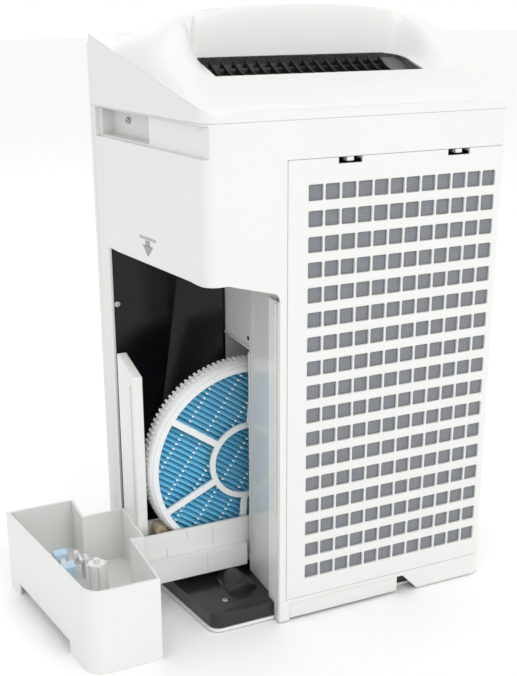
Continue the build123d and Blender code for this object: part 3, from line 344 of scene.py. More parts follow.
@dataclass(frozen=True)
class Granules:
    """Activated granules behind a black net."""

    name: str

    def make(self) -> bpy.types.Material:
        """Build the material."""
        graph = Graph(self.name)
        place = graph.node("ShaderNodeTexCoord", out="Object")
        cells = graph.node("ShaderNodeTexVoronoi", None, {"Vector": place, "Scale": 420.0}, out="Distance")
        x, _, z = graph.object_axes()
        net = (((x * 900.0).sin() > 0.85) + ((z * 900.0).sin() > 0.85)).clamp()
        colour = graph.mix(cells, rgb(0.012, 0.012, 0.013), rgb(0.09, 0.09, 0.095))
        return graph.finish(
            Base_Color=graph.mix(net, colour, rgb(0.02, 0.02, 0.02)),
            Roughness=0.5 + cells * 0.3,
            Normal=graph.bump(cells, 0.0008, 0.9),
        )


class Finish(Enum):
    """Every finish of the machine."""

    CASING = Moulded(
        "casing_white", rgb(0.765, 0.77, 0.745), 0.27, 0.25, scuffs=0.03, rounded=0.0015, subsurface=0.03
    )
    TRAY = Moulded(
        "tray_white", rgb(0.78, 0.785, 0.76), 0.3, 0.2, scuffs=0.03, rounded=0.0014, subsurface=0.05
    )
    INNER = Moulded("inner_grey", rgb(0.6, 0.61, 0.6), 0.2, 0.4, scuffs=0.03)
    WHEEL = Moulded("wheel_grey", rgb(0.82, 0.84, 0.84), 0.32, 0.15, scuffs=0.03)
    ROLLER = Moulded("roller_tan", rgb(0.66, 0.55, 0.36), 0.4, 0.1)
    BLACK = Moulded(
        "liner_black", rgb(0.004, 0.004, 0.004), 0.16, 0.12, scuffs=0.05, rounded=0.0004, ior=1.3
    )
    DARK = Moulded("dark_plastic", rgb(0.022, 0.022, 0.024), 0.42, 0.1)
    BASE = Moulded("base_dark", rgb(0.017, 0.017, 0.017), 0.26, 0.3, 0.00004, 1400.0, rounded=0.0015, ior=1.38)
    RIM = Moulded("rim_white", rgb(0.8, 0.81, 0.82), 0.3, 0.2)
    RUBBER = Moulded("foot_rubber", rgb(0.02, 0.02, 0.02), 0.75, 0.0, 0.0001)
    FLOAT = Moulded("float_blue", rgb(0.52, 0.71, 0.84), 0.6, 0.0, 0.0002, 700.0)
    FILTER_FRAME = Moulded("filter_frame", rgb(0.6, 0.6, 0.6), 0.45, 0.1)
    LENS = Moulded("lens", rgb(0.01, 0.01, 0.013), 0.08, 0.8)
    BOARD = Moulded("board", rgb(0.015, 0.10, 0.04), 0.35, 0.4)
    BUTTON = Moulded("button_grey", rgb(0.45, 0.46, 0.47), 0.38, 0.1)
    ARROW = Moulded("arrow_grey", rgb(0.33, 0.34, 0.36), 0.45, 0.0)
    STEEL = Metal("steel", rgb(0.55, 0.55, 0.54), 0.28)
    MOTOR = Metal("motor_metal", rgb(0.2, 0.2, 0.21), 0.4)
    GRILLE = Moulded("outlet_dark", rgb(0.012, 0.011, 0.011), 0.36, 0.1, ior=1.4)
    # darker grey that paints the shade in the tray's seams
    TRAY_SHADE = Moulded("tray_seam_shade", rgb(0.6, 0.61, 0.6), 0.4, 0.0)
    BLANK = Moulded("outlet_blank", rgb(0.1, 0.105, 0.1), 0.4, 0.1)
    # first colour is the lit blue of the pleat crests, second the painted shade of the valleys
    MEDIA = Felt("blue_media", rgb(0.42, 0.92, 1.0), rgb(0.06, 0.6, 0.93))
    GLUE = Moulded("glue_white", rgb(0.86, 0.93, 0.96), 0.4, 0.2)
    PAPER = Felt("filter_paper", rgb(0.78, 0.79, 0.76), rgb(0.5, 0.51, 0.5))
    CARBON = Granules("carbon")
    MESH = Mesh("grey_mesh", rgb(0.30, 0.315, 0.34), rgb(0.13, 0.14, 0.155))


CAD_FINISHES: dict[Finish, tuple[str, ...]] = {
    Finish.CASING: (
        "front_panel", "side_shell", "top_cover", "rear_panel",
        "latch_tab_left", "latch_tab_right", "sensor_cover",
    ),
    Finish.TRAY: ("water_tray", "slot_cover", "valve_post", "float_arm", "float_bracket"),
    Finish.INNER: ("filter_box", "bay_ceiling"),
    Finish.WHEEL: ("wheel_frame_rear", "wheel_frame_front", "drive_pinion"),
    Finish.ROLLER: ("wheel_roller_1", "wheel_roller_2"),
    Finish.BLACK: ("bay_liner", "control_panel"),
    Finish.DARK: ("outlet_grille", "outlet_duct", "fan_scroll", "fan_impeller", "ion_unit", "dust_sensor"),
    Finish.BASE: ("base_pan",),
    Finish.RIM: ("base_rim",),
    Finish.RUBBER: ("feet", "cord_gland"),
    Finish.FLOAT: ("float_blocks",),
    Finish.FILTER_FRAME: ("hepa_frame",),
    Finish.LENS: ("display_lens",),
    Finish.BOARD: ("circuit_board",),
    Finish.BUTTON: tuple(f"button_{number}" for number in range(1, 6)),
    Finish.STEEL: ("bay_screws", "base_screw", "grip_screws", "motor_shaft", "roller_pins"),
    Finish.MOTOR: ("fan_motor", "wheel_motor"),
    Finish.MEDIA: ("wheel_media",),
    Finish.PAPER: ("hepa_media",),
    Finish.CARBON: ("carbon_filter",),
    Finish.MESH: ("prefilter_mesh",),
}

MATERIALS: dict[Finish, bpy.types.Material] = {}


def material_of(finish: Finish) -> bpy.types.Material:
    """The material of a finish, made the first time it is asked for."""
    if finish not in MATERIALS:
        MATERIALS[finish] = finish.value.make()
    return MATERIALS[finish]


def dress(piece: bpy.types.Object, finish: Finish) -> None:
    """Give a piece one finish all over.

    Args:
        piece: the object to dress.
        finish: the finish it takes.
    """
    piece.data.materials.clear()
    piece.data.materials.append(material_of(finish))


def dress_cad() -> None:
    """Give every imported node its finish."""
    for finish, names in CAD_FINISHES.items():
        for name in names:
            dress(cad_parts[name], finish)


# ------------------------------------------------------------------ modelling helpers


def clear_selection() -> None:
    """Deselect everything and leave edit mode."""
    if bpy.context.object is not None and bpy.context.object.mode != "OBJECT":
        bpy.ops.object.mode_set(mode="OBJECT")
    bpy.ops.object.select_all(action="DESELECT")


def pick(piece: bpy.types.Object) -> None:
    """Make one object the only selected and active one."""
    clear_selection()
    piece.select_set(True)
    bpy.context.view_layer.objects.active = piece


def select_faces(piece: bpy.types.Object, test: Callable[[bpy.types.MeshPolygon], bool]) -> None:
    """In edit mode, select the faces that pass a test and nothing else.

    Args:
        piece: the object in edit mode.
        test: says whether a face is wanted.
    """
    bpy.ops.mesh.select_mode(type="FACE")
    bpy.ops.mesh.select_all(action="DESELECT")
    bpy.ops.object.mode_set(mode="OBJECT")
    for face in piece.data.polygons:
        face.select = test(face)
    bpy.ops.object.mode_set(mode="EDIT")


def settle(piece: bpy.types.Object) -> None:
    """Move an object's place into its mesh."""
    pick(piece)
    bpy.ops.object.transform_apply(location=True, rotation=True, scale=True)


def join(pieces: Sequence[bpy.types.Object], name: str) -> bpy.types.Object:
    """Join several objects into the first and name it.

    Args:
        pieces: the objects to join.
        name: the joined object's name.

    Returns:
        The joined object.
    """
    clear_selection()
    for piece in pieces:
        piece.select_set(True)
    bpy.context.view_layer.objects.active = pieces[0]
    if len(pieces) > 1:
        bpy.ops.object.join()
    pieces[0].name = name
    pieces[0].data.name = name
    return pieces[0]


def copy_of(piece: bpy.types.Object, turn: Matrix) -> bpy.types.Object:
    """A copy with its own mesh, placed by a matrix."""
    made = piece.copy()
    made.data = piece.data.copy()
    bpy.context.scene.collection.objects.link(made)
    made.data.transform(turn)
    return made


def apply_modifier(piece: bpy.types.Object, kind: str, **settings: Any) -> None:
    """Add one modifier and apply it.

    Args:
        piece: the object.
        kind: the modifier's type.
        settings: the modifier's properties.
    """
    pick(piece)
    modifier = piece.modifiers.new(kind.lower(), kind)
    for key, value in settings.items():
        setattr(modifier, key, value)
    bpy.ops.object.modifier_apply(modifier=modifier.name)


def smooth(piece: bpy.types.Object, degrees: float = 35.0) -> None:
    """Shade an object smooth up to an edge angle."""
    pick(piece)
    bpy.ops.object.shade_smooth_by_angle(angle=math.radians(degrees))


def place(piece: bpy.types.Object, name: str, body: str, slot: str, finish: Finish) -> None:
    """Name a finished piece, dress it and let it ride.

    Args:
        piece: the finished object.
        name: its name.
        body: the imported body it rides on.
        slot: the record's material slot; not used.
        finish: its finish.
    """
    settle(piece)
    piece.name = name
    piece.data.name = name
    dress(piece, finish)
    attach(piece, body)
    LOG.info("%s: %d faces on %s", name, len(piece.data.polygons), body)


def carve(piece: bpy.types.Object, cutter: bpy.types.Object, operation: str = "DIFFERENCE") -> None:
    """Combine a piece with a cutter, and throw the cutter away.

    Args:
        piece: the object that is cut.
        cutter: the object that cuts it.
        operation: what the Boolean modifier does.
    """
    apply_modifier(piece, "BOOLEAN", operation=operation, solver="EXACT", object=cutter)
    bpy.data.objects.remove(cutter)


def assemble(
    pieces: Sequence[bpy.types.Object],
    name: str,
    body: str,
    slot: str,
    finish: Finish,
    degrees: float = SOFT_EDGE,
) -> bpy.types.Object:
    """Join pieces, shade them and place them as one.

    Args:
        pieces: the objects to join.
        name: the whole's name.
        body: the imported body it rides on.
        slot: the record's material slot.
        finish: its finish.
        degrees: edge angle up to which it is shaded smooth, or zero for flat faces.

    Returns:
        The whole.
    """
    whole = join(pieces, name)
    if degrees:
        smooth(whole, degrees)
    place(whole, name, body, slot, finish)
    return whole


# ------------------------------------------------------------------ shaped stock


def block(
    low: Sequence[float], high: Sequence[float], bevel: float = 0.5, segments: int = 2
) -> bpy.types.Object:
    """A block with rounded edges.

    Args:
        low: lowest corner, in millimetres.
        high: highest corner, in millimetres.
        bevel: radius of its edges, in millimetres.
        segments: faces around each rounded edge.

    Returns:
        The block.
    """
    clear_selection()
    size = [(high[axis] - low[axis]) * MM for axis in range(3)]
    middle = [(high[axis] + low[axis]) / 2 * MM for axis in range(3)]
    bpy.ops.mesh.primitive_cube_add(size=1.0, location=middle, scale=size)
    made = bpy.context.object
    settle(made)
    if bevel:
        bpy.ops.object.mode_set(mode="EDIT")
        bpy.ops.mesh.select_all(action="SELECT")
        bpy.ops.mesh.bevel(offset=bevel * MM, segments=segments, affect="EDGES")
        bpy.ops.object.mode_set(mode="OBJECT")
    return made


def rod(
    middle: Sequence[float],
    axis: Sequence[float],
    radius: float,
    length: float,
    bevel: float = 0.4,
    sides: int = 32,
) -> bpy.types.Object:
    """A round rod with softened ends.

    Args:
        middle: its centre, in millimetres.
        axis: its direction.
        radius: its radius, in millimetres.
        length: its length, in millimetres.
        bevel: radius of its end edges, in millimetres.
        sides: faces around it.

    Returns:
        The rod.
    """
    clear_selection()
    turn = Vector(axis).to_track_quat("Z", "Y").to_euler()
    bpy.ops.mesh.primitive_cylinder_add(
        vertices=sides, radius=radius * MM, depth=length * MM, location=Vector(middle) * MM, rotation=turn
    )
    made = bpy.context.object
    settle(made)
    if bevel:
        sharp = math.radians(50)
        apply_modifier(
            made, "BEVEL", width=bevel * MM, segments=2, limit_method="ANGLE", angle_limit=sharp
        )
    return made


def ribbon(
    steps: Sequence[Sequence[float]], across: Sequence[float], down: Sequence[float]
) -> bpy.types.Object:
    """A thin bar extruded along a line of points.

    Args:
        steps: the points its upper edge follows, in millimetres.
        across: its thickness, as a vector in millimetres.
        down: its height, as a vector in millimetres.

    Returns:
        The bar, closed at both ends.
    """
    clear_selection()
    bpy.ops.mesh.primitive_plane_add(size=1.0)
    made = bpy.context.object
    start, wide, tall = Vector(steps[0]), Vector(across), Vector(down)
    corners = (start, start + wide, start + wide + tall, start + tall)
    order = (0, 1, 3, 2)
    for vertex, corner in zip(made.data.vertices, (corners[index] for index in order)):
        vertex.co = corner * MM
    bpy.ops.object.mode_set(mode="EDIT")
    bpy.ops.mesh.select_all(action="SELECT")
    for here, there in zip(steps[:-1], steps[1:]):
        move = (Vector(there) - Vector(here)) * MM
        bpy.ops.mesh.extrude_region_move(TRANSFORM_OT_translate={"value": move})
    bpy.ops.mesh.select_all(action="SELECT")
    bpy.ops.mesh.normals_make_consistent(inside=False)
    bpy.ops.object.mode_set(mode="OBJECT")
    return made


def ease(value: float) -> float:
    """A smooth step from zero to one."""
    held = min(1.0, max(0.0, value))
    return held * held * (3 - 2 * held)


# ------------------------------------------------------------------ top cover and outlet


@dataclass
class Plan:
    """The casing's plan, shared by the pieces that follow its sides, in millimetres."""

    front: float = -115.0
    rear: float = 115.0
    front_half: float = 199.5
    taper: float = 0.1674
    corner: float = 14.0

    def half(self, y: float) -> float:
        """Half the width at a depth."""
        return self.front_half - self.taper * (y - self.front)

    def rounded(self, y: float) -> float:
        """Half the width at a depth, less what the rounded rear corner takes."""
        past = y - (self.rear - self.corner)
        lost = self.corner - math.sqrt(max(0.0, self.corner**2 - max(0.0, past) ** 2))
        return self.half(y) - lost

    def normal(self, side: int) -> Vector:
        """Outward normal of one side."""
        return Vector((side, self.taper, 0)).normalized()


@dataclass
class TopCover:
    """Arched cover with a sunk air outlet between two crests that sweep down to the rear corners."""

    plan: Plan = field(default_factory=Plan)
    foot: float = 515.1
    front: float = -103.6
    ridge: float = -20.0
    outlet_half: float = 115.0
    outlet_rear: float = 30.0
    deck: float = 549.0
    deck_slope: float = 0.27
    shoulder: float = 16.0
    overhang: float = 1.0
    rear_edge: float = 524.5
    crest_drop: float = 4.0
    crest_roll: float = 13.0
    wall_run: float = 2.4
    corner: float = 18.0
    wall: float = 2.2
    slope_foot: float = 579.0
    slope_rise: float = 28.0 / 69.7
    slope_end: float = -44.0
    slope_round: float = 4.6
    control_width: float = 44.0

    def side_edge(self, y: float) -> float:
        """Height of the side wall's upper edge."""
        back = y - self.plan.front
        return max(575.5 - 0.105 * back - 0.00075 * back * back, 518.0)

    def arch(self, x: float) -> float:
        """Rise of the ridge over its own ends."""
        far = abs(x) / 184.0
        return 42.0 * (1.0 - 0.16 * far - 0.84 * far**3.4)

    def sweep(self, y: float) -> float:
        """Share of the ridge's rise that is left at a depth."""
        if y < self.ridge - 12:
            along = (y - self.front) / (self.ridge - 12 - self.front)
            return 0.10 + 0.80 * along
        if y < self.ridge:
            return 0.90 + 0.10 * ease((y - self.ridge + 12) / 12)
        return 1.0 - ease((y - self.ridge) / 74.0)

    def outer(self, x: float, y: float, inward: float) -> float:
        """Height of the outer skin, recess left out."""
        lift = 3.0 + (self.shoulder - 3.0) * ease((y - self.front) / 70.0)
        rounded = 1.0 - math.exp(-max(0.0, inward) / 5.5)
        skin = self.side_edge(y) + lift * rounded + max(0.0, self.arch(x)) * self.sweep(y) * rounded
        if y > self.ridge:
            return skin
        past = (y - self.slope_end) / (self.ridge - self.slope_end)
        return min(skin, self.front_slope(y) + self.slope_round * ease(past))

    def front_slope(self, y: float) -> float:
        """Height of the flat slope that the controls lie in."""
        return self.slope_foot + self.slope_rise * (y - self.front)

    def control_seat(self, cover: bpy.types.Object) -> None:
        """Cut the window that the control panel lies flush in."""
        low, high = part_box("control_panel")
        angle = math.atan(self.slope_rise)
        middle = (low.y + high.y) / 2 / MM
        half_long, half_wide = (high.x - low.x) / 2 / MM + 0.3, self.control_width / 2 + 0.3
        cutter = block((-half_long, -half_wide, -30), (half_long, half_wide, 20), 0.0)
        cutter.data.transform(Matrix.Rotation(angle, 4, "X"))
        cutter.data.transform(Matrix.Translation((0, middle * MM, self.front_slope(middle) * MM)))
        carve(cover, cutter)

    def recess(self, x: float, y: float) -> tuple[float, float]:
        """How far a place is outside the recess's floor, and how wide its wall is there."""
        back = max(0.0, y - self.outlet_rear)
        low = self.outlet_half + 0.42 * back
        high = min(130.0 + 20.0 * ease((y - self.ridge) / 42.0) + 0.12 * back, self.plan.half(y) - 5.0)
        corner = 0.5 if x > 0 else self.corner
        over, ahead = abs(x) - (low - corner), (self.ridge + corner) - y
        ends = max(4.0, high - low)
        if over > 0 and ahead > 0:
            turn = over * over / (over * over + ahead * ahead)
            return math.hypot(over, ahead) - corner, self.wall_run + (ends - self.wall_run) * turn
        if over > ahead:
            return over - corner, ends
        return ahead - corner, self.wall_run

    def snapped(self, x: float, y: float) -> tuple[float, float]:
        """A grid place, moved onto the outlet's rounded corner where it is close to it."""
        over, ahead = abs(x) - (self.outlet_half - self.corner), (self.ridge + self.corner) - y
        outside = math.hypot(over, ahead) - self.corner
        if x > 0 or over <= 0 or ahead <= 0 or abs(outside) > 1.0:
            return x, y
        share = self.corner / (self.corner + outside)
        return -(self.outlet_half - self.corner + over * share), self.ridge + self.corner - ahead * share

    def height(self, x: float, y: float, inward: float) -> float:
        """Height of the cover's skin.

        Args:
            x: place across.
            y: depth.
            inward: distance in from the side edge.

        Returns:
            The height, in millimetres.
        """
        skin = self.outer(x, y, inward)
        floor = self.deck - self.deck_slope * (y - self.outlet_rear)
        outside, width = self.recess(x, y)
        share = ease(outside / width)
        skin -= self.crest_drop * (1.0 - min(1.0, max(0.0, outside - width) / self.crest_roll)) ** 2
        blended = floor + (max(skin, floor) - floor) * share
        near = self.plan.rear - y
        settled = 1.0 - math.exp(-max(0.0, near) / 3.0)
        if near > 14.0:
            return blended
        edge = self.rear_edge - 3.0 * ease((abs(x) - 120.0) / 40.0)
        return edge + (blended - edge) * settled

    def columns(self) -> list[float]:
        """Places across, as a share: up to one at the outlet's end, up to two at the side edge."""
        middle = [index / 16 * 0.82 for index in range(-16, 17)]
        bend = [0.82 + 0.18 * index / 12 for index in range(1, 13)]
        shares = (
            0.05, 0.1, 0.16, 0.22, 0.29, 0.36, 0.44, 0.52, 0.6,
            0.68, 0.76, 0.83, 0.89, 0.93, 0.96, 0.98, 0.993, 1.0,
        )
        outer = [1 + share for share in shares]
        right = bend + outer
        return [-share for share in reversed(right)] + middle + right

    def rows(self) -> list[float]:
        """Depths of the grid's rows, close together at the recess's wall and at the rear edge."""
        slope = [self.front + (self.ridge - 8 - self.front) * index / 16 for index in range(17)]
        wall = [self.ridge - 8 + 0.6 * index for index in range(1, 14)]
        bowl = [self.ridge + 1.2 * index for index in range(1, 17)]
        grille = [bowl[-1] + (self.outlet_rear - bowl[-1]) * index / 9 for index in range(1, 10)]
        length = self.plan.rear - 14 - self.outlet_rear
        deck = [self.outlet_rear + length * index / 16 for index in range(1, 17)]
        edge = [self.plan.rear - 14 * (1 - index / 14) ** 1.6 for index in range(1, 15)]
        return slope + wall + bowl + grille + deck + edge

    def across(self, share: float, y: float) -> float:
        """Place across for a column's share, at a depth."""
        side = math.copysign(1.0, share)
        far = abs(share)
        if far <= 1.0:
            return share * self.outlet_half
        edge = self.plan.rounded(y) + self.overhang
        return side * (self.outlet_half + (edge - self.outlet_half) * (far - 1.0))

    def build(self) -> None:
        """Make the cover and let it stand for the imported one."""
        columns, rows = self.columns(), self.rows()
        clear_selection()
        bpy.ops.mesh.primitive_grid_add(x_subdivisions=len(columns) - 1, y_subdivisions=len(rows) - 1, size=2.0)
        cover = bpy.context.object
        vertices = cover.data.vertices
        hole: set[int] = set()
        for row, y in enumerate(rows):
            for column, share in enumerate(columns):
                x = self.across(share, y)
                inward = self.plan.rounded(y) + self.overhang - abs(x)
                spot = self.snapped(x, y)
                vertices[row * len(columns) + column].co = Vector((*spot, self.height(*spot, inward))) * MM
        for face in cover.data.polygons:
            x, y, _ = face.center / MM
            if y < self.outlet_rear and self.recess(x, y)[0] < 0:
                hole.add(face.index)
        self.skirt(cover)
        bpy.ops.object.mode_set(mode="EDIT")
        select_faces(cover, lambda face: face.index in hole)
        bpy.ops.mesh.delete(type="FACE")
        bpy.ops.object.mode_set(mode="OBJECT")
        apply_modifier(cover, "SOLIDIFY", thickness=self.wall * MM, offset=-1.0)
        self.control_seat(cover)
        smooth(cover, 42)
        place(cover, "cover_shell", "casing", "casing_white", Finish.CASING)
        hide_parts("top_cover")

    def skirt(self, cover: bpy.types.Object) -> None:
        """Turn the rim down into side walls, with a rolled lower edge."""
        pick(cover)
        bpy.ops.object.mode_set(mode="EDIT")
        bpy.ops.mesh.select_mode(type="EDGE")
        bpy.ops.mesh.select_all(action="DESELECT")
        bpy.ops.mesh.select_non_manifold(extend=False)
        bpy.ops.mesh.extrude_region_move(TRANSFORM_OT_translate={"value": (0, 0, -1.5 * MM)})
        bpy.ops.mesh.extrude_region_move(TRANSFORM_OT_translate={"value": (0, 0, -1.0 * MM)})
        bpy.ops.object.mode_set(mode="OBJECT")
        for vertex in cover.data.vertices:
            if vertex.select:
                vertex.co.z = self.foot * MM
        bpy.ops.object.mode_set(mode="EDIT")
        bpy.ops.mesh.extrude_region_move(TRANSFORM_OT_translate={"value": (0, 0, 0)})
        bpy.ops.transform.resize(value=(0.992, 0.988, 1.0))
        bpy.ops.object.mode_set(mode="OBJECT")


@dataclass
class Outlet:
    """Dark outlet grille: sagging ribs that run back, over fins that run across."""

    half: float = 114.6
    front: float = -18.6
    rear: float = 29.4
    front_top: float = 561.0
    rear_top: float = 548.4
    sag: float = 5.5
    ribs: int = 17
    fins: int = 4
    depth: float = 11.0
    blank: float = 92.0
    blank_drop: float = 2.0
    rib: float = 1.5
    fin: float = 1.2
    floor: float = 532.0
    steps: int = 12

    def edge(self, share: float) -> tuple[float, float]:
        """Depth and height of a rib's upper edge, from its front to its rear."""
        y = self.front + (self.rear - self.front) * share
        z = self.front_top + (self.rear_top - self.front_top) * share - self.sag * math.sin(math.pi * share)
        return y, z

    def line(self, x: float) -> list[tuple[float, float, float]]:
        """Points of a rib's upper edge at a place across."""
        return [(x, *self.edge(index / self.steps)) for index in range(self.steps + 1)]

    def build(self) -> None:
        """Make ribs, fins, lining and the blank end."""
        rib = ribbon(self.line(0.0), (self.rib, 0, 0), (0, 0, -self.depth))
        apply_modifier(rib, "BEVEL", width=0.35 * MM, segments=2, limit_method="ANGLE")
        pitch = 2 * self.half / (self.ribs + 1)
        ribs = [
            copy_of(rib, Matrix.Translation(((-self.half + pitch * (index + 1) - self.rib / 2) * MM, 0, 0)))
            for index in range(1, self.ribs)
        ]
        bpy.data.objects.remove(rib)
        fins = []
        for index in range(self.fins):
            y, z = self.edge((index + 0.8) / (self.fins + 0.4))
            low, high = (-self.blank, y - self.fin / 2, z - self.depth), (self.half, y + self.fin / 2, z - 3.0)
            fins.append(block(low, high, 0.3))
        whole = assemble(ribs + fins + self.lining(), "outlet_ribs", "casing", "dark_plastic", Finish.GRILLE)
        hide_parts("outlet_grille")
        plate = ribbon(self.line(-self.half), (self.half - self.blank, 0, 0), (0, 0, -self.depth))
        plate.data.transform(Matrix.Translation((0, 0, -self.blank_drop * MM)))
        place(plate, "outlet_blank_end", "casing", "dark_plastic", Finish.BLANK)

    def lining(self) -> list[bpy.types.Object]:
        """Floor and the two long walls round the ribs."""
        side, foot = self.half + 1.0, self.floor - 2.0
        return [
            block((-self.half, self.front, self.floor), (self.half, self.rear, self.floor + 1.2), 0.3),
            block((-side, self.rear - 0.4, foot), (side, self.rear + 1.0, self.rear_top - 1.5), 0.3),
            block((-side, self.front - 2, foot), (side, self.front - 0.6, self.front_top - 5.0), 0.3),
        ]


# ------------------------------------------------------------------ filter wheel


@dataclass
class FilterWheel:
    """Pleated blue wheel filter with rows of glue beads."""

    middle: Vector = field(default_factory=lambda: Vector((82.5, 12.0, 147.0)))
    radius: float = 102.3
    pitch: float = 5.6
    peak: float = 6.8
    angle: float = 35.0
    bead_rows: int = 8
    bead_pitch: float = 23.5
    bead: tuple[float, float, float] = (2.1, 0.8, 1.25)
    band_radius: float = 105.6
    band_half: float = 4.6
    band_depth: float = 11.27

    def build(self) -> None:
        """Make the pleats, the beads and the band."""
        self.pleats()
        self.beads()
        self.band()

    def band(self) -> None:
        """Broad ring that closes the gaps between the teeth and carries the rim's round edge."""
        clear_selection()
        bpy.ops.mesh.primitive_torus_add(
            major_radius=self.band_radius * MM,
            minor_radius=self.band_half * MM,
            major_segments=128,
            minor_segments=12,
        )
        ring = bpy.context.object
        ring.data.transform(Matrix.Rotation(math.pi / 2, 4, "X"))
        ring.data.transform(Matrix.Diagonal((1.0, self.band_depth / self.band_half, 1.0, 1.0)))
        ring.data.transform(Matrix.Translation(self.middle * MM))
        smooth(ring, 60)
        place(ring, "wheel_rim_band", "wheel", "wheel_grey", Finish.WHEEL)

    def turn(self) -> Matrix:
        """Places the pleats, drawn along +X, on the wheel at their angle."""
        tilt = Matrix.Rotation(-math.radians(self.angle), 4, "Y")
        return Matrix.Translation(self.middle * MM) @ tilt

    def folds(self) -> list[float]:
        """Places of the folds across the pleats."""
        count = int(2 * self.radius / self.pitch)
        return [(index - count / 2) * self.pitch for index in range(count + 1)]

    def pleats(self) -> None:
        """Fold a sheet and trim it round."""
        folds = self.folds()
        clear_selection()
        rows = 2 * len(folds) - 1
        bpy.ops.mesh.primitive_grid_add(x_subdivisions=1, y_subdivisions=rows, size=2.0)
        sheet = bpy.context.object
        for index, vertex in enumerate(sheet.data.vertices):
            row, column = divmod(index, 2)
            z = folds[0] + row * self.pitch / 2
            x = (2 * column - 1) * (self.radius + 4)
            y = self.peak if row % 2 else -self.peak
            vertex.co = Vector((x, y, z)) * MM
        sheet.data.transform(self.turn())
        apply_modifier(sheet, "SOLIDIFY", thickness=0.5 * MM, offset=0.0)
        trim = rod(self.middle, (0, 1, 0), self.radius, 60, 0.0, 96)
        carve(sheet, trim, "INTERSECT")
        place(sheet, "wheel_pleats", "wheel", "blue_media", Finish.MEDIA)
        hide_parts("wheel_media")

    def beads(self) -> None:
        """Set one small glue bead on every fold of each row, on both faces."""
        clear_selection()
        bpy.ops.mesh.primitive_ico_sphere_add(subdivisions=1, radius=MM)
        bead = bpy.context.object
        bead.data.transform(Matrix.Diagonal((*self.bead, 1.0)))
        made = []
        for face in (-1, 1):
            shift = 0.0 if face < 0 else self.pitch / 2
            for z in self.folds():
                for row in range(self.bead_rows):
                    x = (row - (self.bead_rows - 1) / 2) * self.bead_pitch
                    if math.hypot(x, z + shift) > self.radius - 3:
                        continue
                    spot = Vector((x, face * (self.peak + 0.2), z + shift)) * MM
                    made.append(copy_of(bead, self.turn() @ Matrix.Translation(spot)))
        bpy.data.objects.remove(bead)
        assemble(made, "wheel_glue_beads", "wheel", "blue_media", Finish.GLUE, 0.0)


# ------------------------------------------------------------------ fasteners and marks


@dataclass
class Screws:
    """Pan-head screws with a cross recess."""

    radius: float = 3.4
    head: float = 2.0
    slot_reach: float = 2.1
    slot_half: float = 0.45
    slot_floor: float = 0.9
    seat: float = 2.2

    def one(self) -> bpy.types.Object:
        """A screw head at the origin, pointing up +Z."""
        head = rod((0, 0, self.head / 2), (0, 0, 1), self.radius, self.head, 0.0, 40)
        apply_modifier(head, "BEVEL", width=1.1 * MM, segments=5, limit_method="ANGLE")
        reach, half = self.slot_reach, self.slot_half
        for x, y in ((reach, half), (half, reach)):
            carve(head, block((-x, -y, self.slot_floor), (x, y, 2 * self.head), 0.0))
        smooth(head, 35)
        return head

    def build(self) -> None:
        """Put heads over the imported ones."""
        model = self.one()
        for node in ("bay_screws", "base_screw", "grip_screws"):
            heads = [copy_of(model, seat) for seat in self.seats(node)]
            whole = assemble(heads, f"{node}_heads", "casing", "steel", Finish.STEEL, 0.0)
            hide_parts(node)
        bpy.data.objects.remove(model)

    def seats(self, node: str) -> list[Matrix]:
        """Where each head of a node sits, and which way it points."""
        low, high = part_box(node)
        middle = (low + high) / 2
        seat = self.seat * MM
        if node == "base_screw":
            return [Matrix.Translation((middle.x, middle.y, high.z - seat))]
        if node == "bay_screws":
            turn = Vector((0, 1, 0)).to_track_quat("Z", "Y").to_matrix().to_4x4()
            edge = self.radius * MM
            spots = ((high.x - edge, high.z - edge), (low.x + edge, low.z + edge))
            return [Matrix.Translation((x, low.y, z)) @ turn for x, z in spots]
        seats = []
        for side in (1, -1):
            outward = Plan().normal(side)
            turn = outward.to_track_quat("Z", "Y").to_matrix().to_4x4()
            seats.append(Matrix.Translation((side * (high.x - seat), middle.y, middle.z)) @ turn)
        return seats


@dataclass
class Marks:
    """Plain pull-out arrow on the tank side."""

    plan: Plan = field(default_factory=Plan)
    y: float = 2.0
    z: float = 383.0
    stand: float = 0.18

    def build(self) -> None:
        """Make the arrow and lay it on the side."""
        parts = []
        clear_selection()
        bpy.ops.mesh.primitive_circle_add(vertices=3, radius=9 * MM, fill_type="NGON")
        tip = bpy.context.object
        tip.data.transform(Matrix.Rotation(math.pi, 4, "Z") @ Matrix.Diagonal((1.35, 0.8, 1, 1)))
        parts.append(tip)
        for half, low, high in ((4.5, 3.0, 8.5), (17.0, 9.6, 10.4), (17.0, 11.4, 12.0)):
            clear_selection()
            bpy.ops.mesh.primitive_plane_add(size=MM)
            bar = bpy.context.object
            bar.data.transform(
                Matrix.Translation((0, (low + high) / 2 * MM, 0))
                @ Matrix.Diagonal((2 * half, high - low, 1, 1))
            )
            parts.append(bar)
        mark = join(parts, "pull_arrow")
        apply_modifier(mark, "SOLIDIFY", thickness=0.25 * MM, offset=0.0)
        side = bpy.data.objects["side_shell"]
        found, hit, _, _ = side.ray_cast(Vector((0.4, self.y * MM, self.z * MM)), Vector((-1, 0, 0)))
        reach = hit.x if found else self.plan.half(self.y) * MM
        out = self.plan.normal(1)
        along = UP.cross(out)
        spot = Vector((reach, self.y * MM, self.z * MM)) + out * self.stand * MM
        turn = Matrix((along, UP, out)).transposed().to_4x4()
        mark.data.transform(Matrix.Translation(spot) @ turn)
        place(mark, "pull_arrow", "casing", "base_dark", Finish.ARROW)


# ------------------------------------------------------------------ bay, tray and base trim


